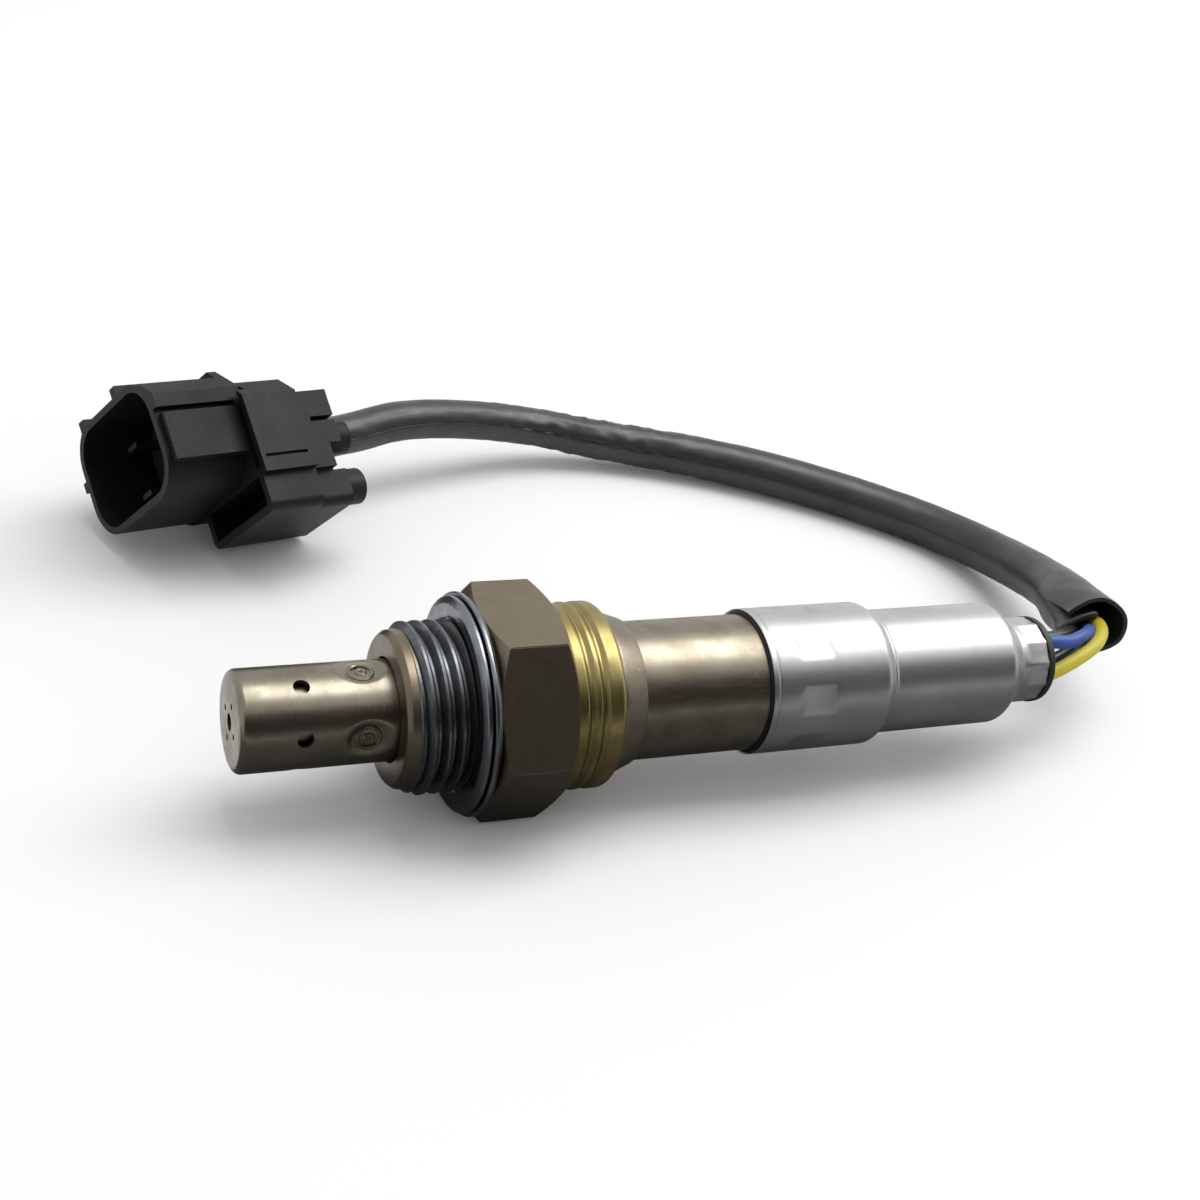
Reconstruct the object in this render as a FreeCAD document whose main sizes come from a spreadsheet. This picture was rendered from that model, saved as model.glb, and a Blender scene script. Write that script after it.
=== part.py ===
"""Heated exhaust oxygen sensor with its short sheathed lead and sealed connector.

The sensor lies on its side: its axis is the X axis and the gas tip points to -X.
The origin is on that axis, at the sealing plane, the front face of the gasket.
The floor that it lies on touches the lowest flat of the spanner hexagon.
"""

import FreeCAD, Part
import math
import os
import Sketcher

Vector = FreeCAD.Vector
Rotation = FreeCAD.Rotation
Placement = FreeCAD.Placement

# Driving sizes in millimetres and degrees
SIZES = {
    # Outer protector: a drawn cup with gas holes and welded dimples
    "tip_reach": 22.8,
    "tip_radius": 5.28,
    "tip_wall": 0.5,
    "tip_round": 0.9,
    "gas_hole_radius": 0.85,
    "gas_hole_setback": 6.4,
    "gas_hole_turn": 20.0,
    "gas_hole_count": 6,
    "end_hole_radius": 0.9,
    "pin_hole_radius": 0.35,
    "pin_hole_circle": 2.1,
    "pin_hole_count": 4,
    "dimple_setback": 12.9,
    "dimple_radius": 1.7,
    "dimple_rim": 0.35,
    "dimple_turn": -2.5,
    "dimple_count": 4,
    "foot_radius": 6.2,
    # Inner protector
    "inner_cup_gap": 0.43,
    "inner_cup_wall": 0.4,
    "inner_cup_setback": 1.5,
    "inner_hole_radius": 0.8,
    "inner_hole_setback": 9.5,
    "inner_hole_count": 6,
    # Metal shell: threaded nose, spanner hexagon and crimped rear lip
    "nose_reach": 6.9,
    "nose_radius": 7.7,
    "nose_chamfer": 0.4,
    "nose_rise": 0.5,
    "lead_length": 0.7,
    "lead_rise": 0.1,
    "thread_radius": 9.0,
    "thread_run_in": 0.7,
    "relief_radius": 8.15,
    "relief_slope": 0.4,
    "hex_flats": 22.0,
    "hex_length": 8.6,
    "hex_face_radius": 10.7,
    "hex_chamfer_angle": 30.0,
    "neck_radius": 9.1,
    "lip_length": 3.1,
    "lip_edge": 0.33,
    "lip_bend": 0.9,
    "throat_radius": 5.0,
    "bore_radius": 6.9,
    "rear_bore_radius": 8.3,
    "rear_bore_depth": 4.5,
    "foot_lip": 1.0,
    "seat_place": 0.9,
    # Folded steel gasket
    "gasket_thickness": 1.8,
    "gasket_front_radius": 11.4,
    "gasket_rear_radius": 11.8,
    "gasket_fold_radius": 10.3,
    "gasket_fold_width": 0.16,
    "gasket_round": 0.4,
    # Brass-coloured ring on the shell's neck
    "ring_radius": 10.05,
    "ring_length": 5.7,
    "ring_band": 1.5,
    "ring_ridge": 1.0,
    "ring_groove_width": 0.5,
    "ring_groove_depth": 0.5,
    "ring_round": 0.7,
    # Sensing element, its heater and its seals
    "element_tip_radius": 2.3,
    "element_root_radius": 3.3,
    "element_setback": 2.9,
    "element_flange_radius": 6.6,
    "element_flange_length": 3.7,
    "element_stem_radius": 4.2,
    "element_stem_end": 26.0,
    "element_bore": 1.7,
    "element_floor": 1.0,
    "heater_radius": 1.4,
    "heater_end": 33.0,
    "heater_tip_gap": 0.5,
    "packing_thickness": 0.4,
    "talc_length": 5.6,
    # Inner tube between the shell and the sleeve
    "tube_radius": 7.56,
    "tube_wall": 0.6,
    "tube_foot": 0.6,
    "tube_end": 46.0,
    "crimp_packing_length": 1.0,
    # Stepped outer sleeve
    "sleeve_start": 34.2,
    "sleeve_radius": 8.15,
    "sleeve_wall": 0.35,
    "sleeve_step": 49.0,
    "sleeve_step_length": 1.3,
    "sleeve_rear_radius": 7.1,
    "shoulder_start": 66.7,
    "shoulder_length": 2.3,
    "neck_end_radius": 6.5,
    "neck_length": 3.8,
    "pad_start": 3.5,
    "pad_length": 4.5,
    "pad_width": 4.3,
    "pad_depth": 0.17,
    "pad_turn": 28.0,
    "pad_count": 8,
    "flute_width": 3.0,
    "flute_depth": 0.15,
    "flute_margin": 0.5,
    "filter_reach": 0.2,
    "filter_length": 8.8,
    # Contact bush, contacts, grommet and wires
    "bush_start": 34.0,
    "bush_end": 57.0,
    "contact_circle": 2.9,
    "contact_turn": 15.0,
    "contact_width": 1.8,
    "contact_thickness": 0.5,
    "contact_start": 28.0,
    "barrel_radius": 1.15,
    "barrel_length": 4.0,
    "wire_radius": 0.85,
    "wire_count": 4,
    "wire_lane": 1.35,
    "wire_straight": 5.7,
    "wire_depth": 9.0,
    "grommet_reach": 1.0,
    "grommet_round": 0.4,
    # Sheath
    "sheath_radius": 3.1,
    "sheath_wall": 0.6,
    # Connector, in its own frame: mating end at -X, flats across Y and Z
    "mouth_half_width": 6.4,
    "mouth_half_height": 9.2,
    "mouth_round": 4.0,
    "shroud_wall": 0.9,
    "shroud_length": 10.5,
    "socket_depth": 11.5,
    "band_rise": 1.0,
    "band_setback": 3.1,
    "band_left": 4.2,
    "band_right": 1.7,
    "groove_width": 0.7,
    "key_width": 1.3,
    "key_rise": 1.2,
    "key_place": 2.6,
    "low_key_place": 6.9,
    "low_key_rise": 0.8,
    "foot_key_place": 0.6,
    "collar_right": 7.7,
    "collar_left": 7.7,
    "collar_top": 13.1,
    "collar_bottom": 10.2,
    "collar_round": 5.4,
    "collar_top_round": 3.0,
    "collar_wall": 1.0,
    "collar_depth": 6.0,
    "latch_left": 12.3,
    "latch_top": 12.1,
    "latch_bottom": 2.9,
    "latch_round": 1.2,
    "block_length": 7.6,
    "block_step": 1.2,
    "body_length": 12.8,
    "tower_radius": 2.3,
    "tower_left": 9.6,
    "tower_up": 8.2,
    "tower_length": 2.7,
    "port_radius": 4.4,
    "seal_radius": 2.4,
    "seal_depth": 5.0,
    "blade_width": 2.3,
    "blade_thickness": 0.64,
    "blade_reach": 5.0,
    "blade_row_width": 3.2,
    "blade_row_height": 4.6,
    "carrier_thickness": 2.0,
    # Small running and assembly clearances
    "slip_fit": 0.05,
    "loose_fit": 0.15,
}

# Places worked out from the driving sizes, as formulas of the second sheet
PLACES = {
    "tip_end": "-Sizes.tip_reach",
    "tip_inside_end": "-Sizes.tip_reach + Sizes.tip_wall",
    "tip_inner_radius": "Sizes.tip_radius - Sizes.tip_wall",
    "nose_face": "-Sizes.nose_reach",
    "foot_front": "-Sizes.nose_reach + Sizes.foot_lip",
    "foot_middle": "-Sizes.nose_reach + Sizes.foot_lip + Sizes.tip_wall",
    "foot_back": "-Sizes.nose_reach + Sizes.foot_lip + Sizes.tip_wall + Sizes.inner_cup_wall",
    "foot_bore_radius": "Sizes.foot_radius + Sizes.slip_fit",
    "nose_bore_radius": "Sizes.tip_radius + Sizes.loose_fit",
    "inner_cup_radius": "Sizes.tip_radius - Sizes.tip_wall - Sizes.inner_cup_gap",
    "inner_cup_bore": "Sizes.tip_radius - Sizes.tip_wall - Sizes.inner_cup_gap - Sizes.inner_cup_wall",
    "inner_cup_end": "-Sizes.tip_reach + Sizes.inner_cup_setback",
    "inner_cup_inside_end": "-Sizes.tip_reach + Sizes.inner_cup_setback + Sizes.inner_cup_wall",
    "gas_hole_place": "-Sizes.tip_reach + Sizes.gas_hole_setback",
    "inner_hole_place": "-Sizes.tip_reach + Sizes.inner_hole_setback",
    "dimple_place": "-Sizes.tip_reach + Sizes.dimple_setback",
    "dimple_boss_radius": "Sizes.dimple_radius + Sizes.dimple_rim",
    "dimple_floor": "Sizes.tip_radius - Sizes.inner_cup_gap",
    "dimple_back": "Sizes.tip_radius - Sizes.tip_wall - Sizes.inner_cup_gap + Sizes.slip_fit",
    "dimple_thickness": "Sizes.tip_wall - Sizes.slip_fit",
    "chamfer_end": "-Sizes.nose_reach + Sizes.nose_chamfer",
    "chamfer_radius": "Sizes.nose_radius + Sizes.nose_rise",
    "lead_end": "-Sizes.nose_reach + Sizes.nose_chamfer + Sizes.lead_length",
    "lead_radius": "Sizes.nose_radius + Sizes.nose_rise + Sizes.lead_rise",
    "thread_start": "-Sizes.nose_reach + Sizes.nose_chamfer + Sizes.lead_length + Sizes.thread_run_in",
    "hex_front": "Sizes.gasket_thickness",
    "hex_rear": "Sizes.gasket_thickness + Sizes.hex_length",
    "hex_corner": "Sizes.hex_flats / (2 * cos(30 deg))",
    "hex_front_corner": "Sizes.gasket_thickness"
    " + (Sizes.hex_flats / (2 * cos(30 deg)) - Sizes.hex_face_radius) * tan(Sizes.hex_chamfer_angle * 1 deg)",
    "hex_rear_corner": "Sizes.gasket_thickness + Sizes.hex_length"
    " - (Sizes.hex_flats / (2 * cos(30 deg)) - Sizes.hex_face_radius) * tan(Sizes.hex_chamfer_angle * 1 deg)",
    "gasket_bore": "Sizes.thread_radius + Sizes.slip_fit",
    "gasket_seat_bore": "Sizes.relief_radius + Sizes.slip_fit",
    "fold_front": "(Sizes.gasket_thickness - Sizes.gasket_fold_width) / 2",
    "fold_rear": "(Sizes.gasket_thickness + Sizes.gasket_fold_width) / 2",
    "ring_rear": "Sizes.gasket_thickness + Sizes.hex_length + Sizes.ring_length",
    "ring_bore": "Sizes.neck_radius + Sizes.slip_fit",
    "ring_groove_radius": "Sizes.ring_radius - Sizes.ring_groove_depth",
    "groove_a": "Sizes.gasket_thickness + Sizes.hex_length + Sizes.ring_band",
    "ridge_a": "Sizes.gasket_thickness + Sizes.hex_length + Sizes.ring_band + Sizes.ring_groove_width",
    "groove_b": "Sizes.gasket_thickness + Sizes.hex_length + Sizes.ring_band + Sizes.ring_groove_width"
    " + Sizes.ring_ridge",
    "ridge_b": "Sizes.gasket_thickness + Sizes.hex_length + Sizes.ring_band + 2 * Sizes.ring_groove_width"
    " + Sizes.ring_ridge",
    "lip_end": "Sizes.gasket_thickness + Sizes.hex_length + Sizes.ring_length + Sizes.lip_length",
    "lip_bore": "Sizes.tube_radius + Sizes.slip_fit",
    "lip_radius": "Sizes.tube_radius + Sizes.slip_fit + Sizes.lip_edge",
    "rear_step": "Sizes.gasket_thickness + Sizes.hex_length + Sizes.rear_bore_depth",
    "tube_foot_rear": "Sizes.gasket_thickness + Sizes.hex_length + Sizes.rear_bore_depth + Sizes.tube_foot",
    "crimp_start": "Sizes.gasket_thickness + Sizes.hex_length + Sizes.rear_bore_depth + Sizes.tube_foot"
    " + Sizes.crimp_packing_length",
    "crimp_end": "Sizes.gasket_thickness + Sizes.hex_length + Sizes.rear_bore_depth + Sizes.tube_foot"
    " + Sizes.crimp_packing_length + Sizes.lip_bend",
    "rear_fit_radius": "Sizes.rear_bore_radius - Sizes.slip_fit",
    "seat_bore_fit": "Sizes.bore_radius - Sizes.slip_fit",
    "packing_bore": "Sizes.throat_radius + Sizes.slip_fit",
    "element_tip": "-Sizes.tip_reach + Sizes.element_setback",
    "element_inside_tip": "-Sizes.tip_reach + Sizes.element_setback + Sizes.element_floor",
    "element_seat": "Sizes.seat_place + Sizes.packing_thickness",
    "element_flange_rear": "Sizes.seat_place + Sizes.packing_thickness + Sizes.element_flange_length",
    "talc_rear": "Sizes.seat_place + Sizes.packing_thickness + Sizes.element_flange_length + Sizes.talc_length",
    "stem_fit_radius": "Sizes.element_stem_radius + Sizes.slip_fit",
    "heater_tip": "-Sizes.tip_reach + Sizes.element_setback + Sizes.element_floor + Sizes.heater_tip_gap",
    "tube_inner_radius": "Sizes.tube_radius - Sizes.tube_wall",
    "sleeve_inner_radius": "Sizes.sleeve_radius - Sizes.sleeve_wall",
    "sleeve_step_end": "Sizes.sleeve_step + Sizes.sleeve_step_length",
    "sleeve_rear_bore": "Sizes.sleeve_rear_radius - Sizes.sleeve_wall",
    "shoulder_end": "Sizes.shoulder_start + Sizes.shoulder_length",
    "sleeve_end": "Sizes.shoulder_start + Sizes.shoulder_length + Sizes.neck_length",
    "neck_bore": "Sizes.neck_end_radius - Sizes.sleeve_wall",
    "pad_front": "Sizes.sleeve_start + Sizes.pad_start",
    "pad_rear": "Sizes.sleeve_start + Sizes.pad_start + Sizes.pad_length",
    "pad_side": "Sizes.pad_width / 2",
    "pad_height": "Sizes.sleeve_radius - Sizes.pad_depth",
    "flute_front": "Sizes.shoulder_start + Sizes.shoulder_length + Sizes.flute_margin",
    "flute_rear": "Sizes.shoulder_start + Sizes.shoulder_length + Sizes.neck_length - Sizes.flute_margin",
    "flute_side": "Sizes.flute_width / 2",
    "flute_height": "Sizes.neck_end_radius - Sizes.flute_depth",
    "filter_front": "Sizes.sleeve_start - Sizes.filter_reach",
    "filter_rear": "Sizes.sleeve_start - Sizes.filter_reach + Sizes.filter_length",
    "filter_bore": "Sizes.tube_radius + Sizes.slip_fit / 2",
    "filter_radius": "Sizes.sleeve_radius - Sizes.sleeve_wall - Sizes.slip_fit / 2",
    "bush_radius": "Sizes.tube_radius - Sizes.tube_wall - Sizes.slip_fit",
    "contact_inside": "Sizes.contact_circle - Sizes.contact_thickness / 2",
    "contact_outside": "Sizes.contact_circle + Sizes.contact_thickness / 2",
    "barrel_start": "Sizes.bush_end - Sizes.barrel_length",
    "barrel_bore_radius": "Sizes.barrel_radius + Sizes.slip_fit",
    "grommet_radius": "Sizes.sleeve_rear_radius - Sizes.sleeve_wall - Sizes.slip_fit",
    "grommet_neck_radius": "Sizes.neck_end_radius - Sizes.sleeve_wall - Sizes.slip_fit",
    "grommet_end": "Sizes.shoulder_start + Sizes.shoulder_length + Sizes.neck_length + Sizes.grommet_reach",
    "wire_bore": "Sizes.wire_radius + Sizes.slip_fit",
    "mouth_low": "-Sizes.mouth_half_height",
    "mouth_left": "-Sizes.mouth_half_width",
    "shroud_right": "Sizes.mouth_half_width + Sizes.shroud_wall",
    "shroud_left": "-Sizes.mouth_half_width - Sizes.shroud_wall",
    "shroud_top": "Sizes.mouth_half_height + Sizes.shroud_wall",
    "shroud_low": "-Sizes.mouth_half_height - Sizes.shroud_wall",
    "shroud_round": "Sizes.mouth_round + Sizes.shroud_wall",
    "band_top": "Sizes.mouth_half_height + Sizes.shroud_wall + Sizes.band_rise",
    "band_length": "Sizes.shroud_length - Sizes.band_setback",
    "band_left_side": "-Sizes.band_left",
    "corner_left_side": "Sizes.band_right + Sizes.groove_width",
    "key_low": "Sizes.key_place - Sizes.key_width / 2",
    "key_high": "Sizes.key_place + Sizes.key_width / 2",
    "key_tip": "Sizes.mouth_half_width + Sizes.shroud_wall + Sizes.key_rise",
    "low_key_low": "-Sizes.low_key_place - Sizes.key_width / 2",
    "low_key_high": "-Sizes.low_key_place + Sizes.key_width / 2",
    "low_key_tip": "Sizes.mouth_half_width + Sizes.shroud_wall + Sizes.low_key_rise",
    "foot_key_left": "Sizes.foot_key_place - Sizes.key_width / 2",
    "foot_key_right": "Sizes.foot_key_place + Sizes.key_width / 2",
    "foot_key_tip": "-Sizes.mouth_half_height - Sizes.shroud_wall - Sizes.low_key_rise",
    "collar_left_side": "-Sizes.collar_left",
    "collar_low": "-Sizes.collar_bottom",
    "latch_left_side": "-Sizes.latch_left",
    "latch_low": "-Sizes.latch_bottom",
    "gap_top": "Sizes.collar_top - Sizes.collar_wall",
    "gap_left_side": "Sizes.collar_wall - Sizes.collar_left",
    "gap_right": "Sizes.collar_right - Sizes.collar_top_round",
    "latch_pocket_left": "Sizes.collar_wall - Sizes.latch_left",
    "latch_pocket_low": "Sizes.collar_wall - Sizes.latch_bottom",
    "latch_pocket_top": "Sizes.latch_top - Sizes.collar_wall",
    "low_top": "Sizes.collar_top - Sizes.block_step",
    "low_latch_top": "Sizes.latch_top - Sizes.block_step",
    "rib_root_height": "Sizes.mouth_half_height - Sizes.mouth_round",
    "rib_root_width": "Sizes.mouth_half_width - Sizes.mouth_round",
    "foot_rib_root": "Sizes.mouth_round - Sizes.mouth_half_height",
    "corner_right": "Sizes.mouth_half_width - Sizes.slip_fit",
    "mouth_face": "-Sizes.shroud_length",
    "tower_left_side": "-Sizes.tower_left",
    "body_end": "0 + Sizes.body_length",
    "rear_face": "Sizes.body_length + Sizes.tower_length",
    "seal_front": "Sizes.body_length + Sizes.tower_length - Sizes.seal_depth",
    "seal_fit": "Sizes.seal_radius - Sizes.slip_fit",
    "socket_floor": "Sizes.socket_depth - Sizes.shroud_length",
    "carrier_front": "Sizes.socket_depth - Sizes.shroud_length - Sizes.carrier_thickness",
    "carrier_right": "Sizes.mouth_half_width - Sizes.slip_fit",
    "carrier_left": "Sizes.slip_fit - Sizes.mouth_half_width",
    "carrier_high": "Sizes.mouth_half_height - Sizes.slip_fit",
    "carrier_low": "Sizes.slip_fit - Sizes.mouth_half_height",
    "blade_front": "Sizes.socket_depth - Sizes.shroud_length - Sizes.carrier_thickness - Sizes.blade_reach",
    "slot_near_side": "Sizes.blade_row_width - Sizes.blade_thickness / 2 - Sizes.slip_fit",
    "slot_far_side": "Sizes.blade_row_width + Sizes.blade_thickness / 2 + Sizes.slip_fit",
    "slot_low": "Sizes.blade_row_height - Sizes.blade_width / 2 - Sizes.slip_fit",
    "slot_high": "Sizes.blade_row_height + Sizes.blade_width / 2 + Sizes.slip_fit",
    "slot_near_side_left": "Sizes.blade_thickness / 2 + Sizes.slip_fit - Sizes.blade_row_width",
    "slot_far_side_left": "-Sizes.blade_row_width - Sizes.blade_thickness / 2 - Sizes.slip_fit",
    "slot_low_below": "Sizes.blade_width / 2 + Sizes.slip_fit - Sizes.blade_row_height",
    "slot_high_below": "-Sizes.blade_row_height - Sizes.blade_width / 2 - Sizes.slip_fit",
}

ROLL = 42.1
HEADING = 20.0
REAR_DIP = 5.0
CONNECTOR_POINT = Vector(-15.12, 56.99, -0.2)

# Route of the sheath, from its open end beside the sensor to the last free point before the connector
SHEATH_ROUTE = [
    (87.1, 3.9, 1.5),
    (90.7, 13.6, -1.3),
    (93.4, 23.8, -4.4),
    (94.2, 34.2, -7.2),
    (91.2, 44.4, -8.7),
    (83.4, 53.0, -8.7),
    (73.0, 61.2, -8.7),
    (61.2, 68.0, -8.7),
    (48.6, 72.4, -8.4),
    (36.4, 73.4, -6.5),
    (24.2, 70.2, -3.9),
    (14.2, 67.0, -2.7),
]
SHEATH_LAST_RUN = 7.0
BEND_SHARE = 0.45
WIRE_TURN = Vector(85.0, -0.6, 3.0)
WIRE_NAMES = ["blue_wire", "yellow_wire", "black_wire_front", "black_wire_rear"]

doc = FreeCAD.newDocument("OxygenSensor")


def fill_sheet(name, rows, formulas):
    """Write one aliased cell for each size or place."""
    sheet = doc.addObject("Spreadsheet::Sheet", name)
    for number, (alias, content) in enumerate(rows.items(), start=1):
        sheet.set(f"A{number}", alias)
        sheet.set(f"B{number}", ("=" if formulas else "") + str(content))
        sheet.setAlias(f"B{number}", alias)
    doc.recompute()
    return sheet


sizes = fill_sheet("Sizes", SIZES, False)
places = fill_sheet("Places", PLACES, True)


def size(alias):
    """The value of a named size or place."""
    return float(getattr(sizes if alias in SIZES else places, alias))


def cell(alias):
    """The expression that binds a property to a named size or place."""
    return ("Sizes." if alias in SIZES else "Places.") + alias


def new_body(name):
    body = doc.addObject("PartDesign::Body", name)
    body.Label = name
    return body


def origin_plane(body, role):
    return next(item for item in body.Origin.OriginFeatures if item.Role == role)


def new_sketch(body, name, role="XY_Plane", offset=None):
    """A sketch on one of its own body's origin planes."""
    sketch = body.newObject("Sketcher::SketchObject", name)
    sketch.AttachmentSupport = [(origin_plane(body, role), "")]
    sketch.MapMode = "FlatFace"
    if offset is not None:
        sketch.AttachmentOffset = offset
    return sketch


def bind(sketch, constraint, alias):
    number = sketch.addConstraint(constraint)
    sketch.setExpression(f"Constraints[{number}]", cell(alias))


def pin_point(sketch, edge, end, across, up):
    """Tie one end of an edge to the origin; None leaves that point on the axis."""
    for kind, alias, axis in (("DistanceX", across, -2), ("DistanceY", up, -1)):
        if alias is None:
            sketch.addConstraint(Sketcher.Constraint("PointOnObject", edge, end, axis))
        else:
            bind(sketch, Sketcher.Constraint(kind, -1, 1, edge, end, size(alias)), alias)


def polygon(sketch, corners):
    """A closed outline of straight edges through (across, up) pairs of named values."""
    points = [Vector(*[0 if a is None else size(a) for a in pair], 0) for pair in corners]
    first = sketch.GeometryCount
    count = len(points)
    for number, point in enumerate(points):
        sketch.addGeometry(Part.LineSegment(point, points[(number + 1) % count]), False)
    for number, (across, up) in enumerate(corners):
        edge = first + number
        before = first + (number - 1) % count
        sketch.addConstraint(Sketcher.Constraint("Coincident", before, 2, edge, 1))
        pin_point(sketch, edge, 1, across, up)


def rounded_outline(sketch, sides):
    """A closed outline of level and upright edges, given as (direction, place, round) in order.

    The round is the radius of the corner after that edge, or None for a sharp corner.
    """
    count = len(sides)
    corners = []
    for number, (direction, place, _) in enumerate(sides):
        other = sides[(number + 1) % count][1]
        level, upright = (place, other) if direction == "level" else (other, place)
        corners.append(Vector(size(upright), size(level), 0))
    starts, ends = [], []
    for number in range(count):
        before, after = corners[number - 1], corners[number]
        along = (after - before).normalize()
        lead, tail = sides[number - 1][2], sides[number][2]
        starts.append(before + along * (size(lead) if lead else 0))
        ends.append(after - along * (size(tail) if tail else 0))
    first = sketch.GeometryCount
    for start, end in zip(starts, ends):
        sketch.addGeometry(Part.LineSegment(start, end), False)
    for number, (direction, place, round_size) in enumerate(sides):
        edge, after = first + number, first + (number + 1) % count
        level = direction == "level"
        sketch.addConstraint(Sketcher.Constraint("Horizontal" if level else "Vertical", edge))
        kind = "DistanceY" if level else "DistanceX"
        bind(sketch, Sketcher.Constraint(kind, -1, 1, edge, 1, size(place)), place)
        if round_size is None:
            sketch.addConstraint(Sketcher.Constraint("Coincident", edge, 2, after, 1))
            continue
        start, end = ends[number], starts[(number + 1) % count]
        corner = corners[number]
        centre = start + end - corner
        middle = centre + (corner - centre).normalize() * size(round_size)
        arc = sketch.addGeometry(Part.Arc(start, middle, end), False)
        swapped = sketch.getPoint(arc, 1).distanceToPoint(start) > sketch.getPoint(arc, 2).distanceToPoint(start)
        near, far = (2, 1) if swapped else (1, 2)
        sketch.addConstraint(Sketcher.Constraint("Tangent", edge, 2, arc, near))
        sketch.addConstraint(Sketcher.Constraint("Tangent", after, 1, arc, far))
        bind(sketch, Sketcher.Constraint("Radius", arc, size(round_size)), round_size)


def circle(sketch, radius, across=None, up=None):
    centre = Vector(*[0 if a is None else size(a) for a in (across, up)], 0)
    number = sketch.addGeometry(Part.Circle(centre, Vector(0, 0, 1), size(radius)), False)
    bind(sketch, Sketcher.Constraint("Radius", number, size(radius)), radius)
    pin_point(sketch, number, 3, across, up)


def spin(body, sketch):
    """Turn a profile about the X axis."""
    feature = body.newObject("PartDesign::Revolution", body.Name + "_turning")
    feature.Profile = sketch
    feature.ReferenceAxis = (sketch, ["H_Axis"])
    feature.Angle = 360
    sketch.Visibility = False
    doc.recompute()
    return feature


def turned(name, corners):
    """A turned piece from a straight-edged half section of (station, radius) pairs."""
    body = new_body(name)
    sketch = new_sketch(body, name + "_section")
    polygon(sketch, corners)
    spin(body, sketch)
    return body


def add_pad(body, sketch, length, backwards=False):
    return extrude(body, sketch, "PartDesign::Pad", length, backwards)


def add_pocket(body, sketch, length, backwards=False):
    return extrude(body, sketch, "PartDesign::Pocket", length, backwards)


def extrude(body, sketch, kind, length, backwards):
    """Pad or pocket a sketch by a named length, and check that it changed the solid."""
    before = body.Shape.Volume if body.Tip else 0.0
    feature = body.newObject(kind, sketch.Name + "_" + kind.split("::")[1].lower())
    feature.Profile = sketch
    if length is None:
        feature.Type = 1
    else:
        feature.setExpression("Length", cell(length))
    feature.Reversed = backwards
    sketch.Visibility = False
    doc.recompute()
    grown = body.Shape.Volume - before
    expected = grown > 0 if kind.endswith("Pad") else grown < 0
    if not expected:
        raise RuntimeError(f"{feature.Name} left the solid unchanged")
    return feature


def repeat_round(body, feature, count):
    """Repeat a feature round the X axis."""
    pattern = body.newObject("PartDesign::PolarPattern", feature.Name + "_round")
    pattern.Originals = [feature]
    pattern.Axis = (next(i for i in body.Origin.OriginFeatures if i.Role == "X_Axis"), [""])
    pattern.Angle = 360
    pattern.setExpression("Occurrences", cell(count))
    body.Tip = pattern
    doc.recompute()
    return pattern


def facing_sketch(body, name, turn, height=None):
    """A sketch square to a radius, turned about the X axis from +Z to -Y and lifted along that radius."""
    rotation = Rotation(Vector(1, 0, 0), size(turn))
    lift = size(height) if height else 0
    offset = Placement(rotation.multVec(Vector(0, 0, lift)), rotation)
    sketch = new_sketch(body, name, offset=offset)
    sketch.setExpression("AttachmentOffset.Rotation.Angle", f"{cell(turn)} * 1 deg")
    if height:
        sketch.setExpression("AttachmentOffset.Base.y", f"-sin({cell(turn)} * 1 deg) * {cell(height)}")
        sketch.setExpression("AttachmentOffset.Base.z", f"cos({cell(turn)} * 1 deg) * {cell(height)}")
    return sketch


def section_sketch(body, name, place=None, turn=0.0):
    """A sketch square to the X axis at a named station."""
    rotation = Rotation(Vector(0, 0, 1), turn)
    sketch = new_sketch(body, name, "YZ_Plane", Placement(Vector(0, 0, size(place) if place else 0), rotation))
    if place:
        sketch.setExpression("AttachmentOffset.Base.z", cell(place))
    return sketch


def round_corner_edges(body, name, station, radius, round_size):
    """Fillet the circular edge at one station and radius of a turned piece."""
    base, picked = body.Tip, []
    for number, edge in enumerate(base.Shape.Edges, start=1):
        curve = edge.Curve
        if not isinstance(curve, Part.Circle):
            continue
        at_station = abs(curve.Center.x - (size(station) if station else 0)) < 1e-4
        if at_station and abs(curve.Radius - size(radius)) < 1e-4:
            picked.append(f"Edge{number}")
    fillet = body.newObject("PartDesign::Fillet", name)
    fillet.Base = (base, picked)
    fillet.setExpression("Radius", cell(round_size))
    body.Tip = fillet
    doc.recompute()
    return fillet


# Gas tip
def make_outer_protector():
    body = turned(
        "outer_protector",
        [
            ("tip_end", None),
            ("tip_end", "tip_radius"),
            ("foot_front", "tip_radius"),
            ("foot_front", "foot_radius"),
            ("foot_middle", "foot_radius"),
            ("foot_middle", "tip_inner_radius"),
            ("tip_inside_end", "tip_inner_radius"),
            ("tip_inside_end", None),
        ],
    )
    round_corner_edges(body, "tip_rounding", "tip_end", "tip_radius", "tip_round")
    boss = facing_sketch(body, "dimple_boss", "dimple_turn", "dimple_back")
    circle(boss, "dimple_boss_radius", "dimple_place")
    repeat_round(body, add_pad(body, boss, "dimple_thickness"), "dimple_count")
    dent = facing_sketch(body, "dimple_dent", "dimple_turn", "dimple_floor")
    circle(dent, "dimple_radius", "dimple_place")
    repeat_round(body, add_pocket(body, dent, "foot_radius", True), "dimple_count")
    hole = facing_sketch(body, "gas_hole", "gas_hole_turn")
    circle(hole, "gas_hole_radius", "gas_hole_place")
    repeat_round(body, add_pocket(body, hole, "foot_radius", True), "gas_hole_count")
    end_hole = section_sketch(body, "end_hole", "tip_end")
    circle(end_hole, "end_hole_radius")
    add_pocket(body, end_hole, "tip_radius", True)
    pin_hole = section_sketch(body, "pin_hole", "tip_end")
    circle(pin_hole, "pin_hole_radius", None, "pin_hole_circle")
    repeat_round(body, add_pocket(body, pin_hole, "tip_radius", True), "pin_hole_count")


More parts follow.
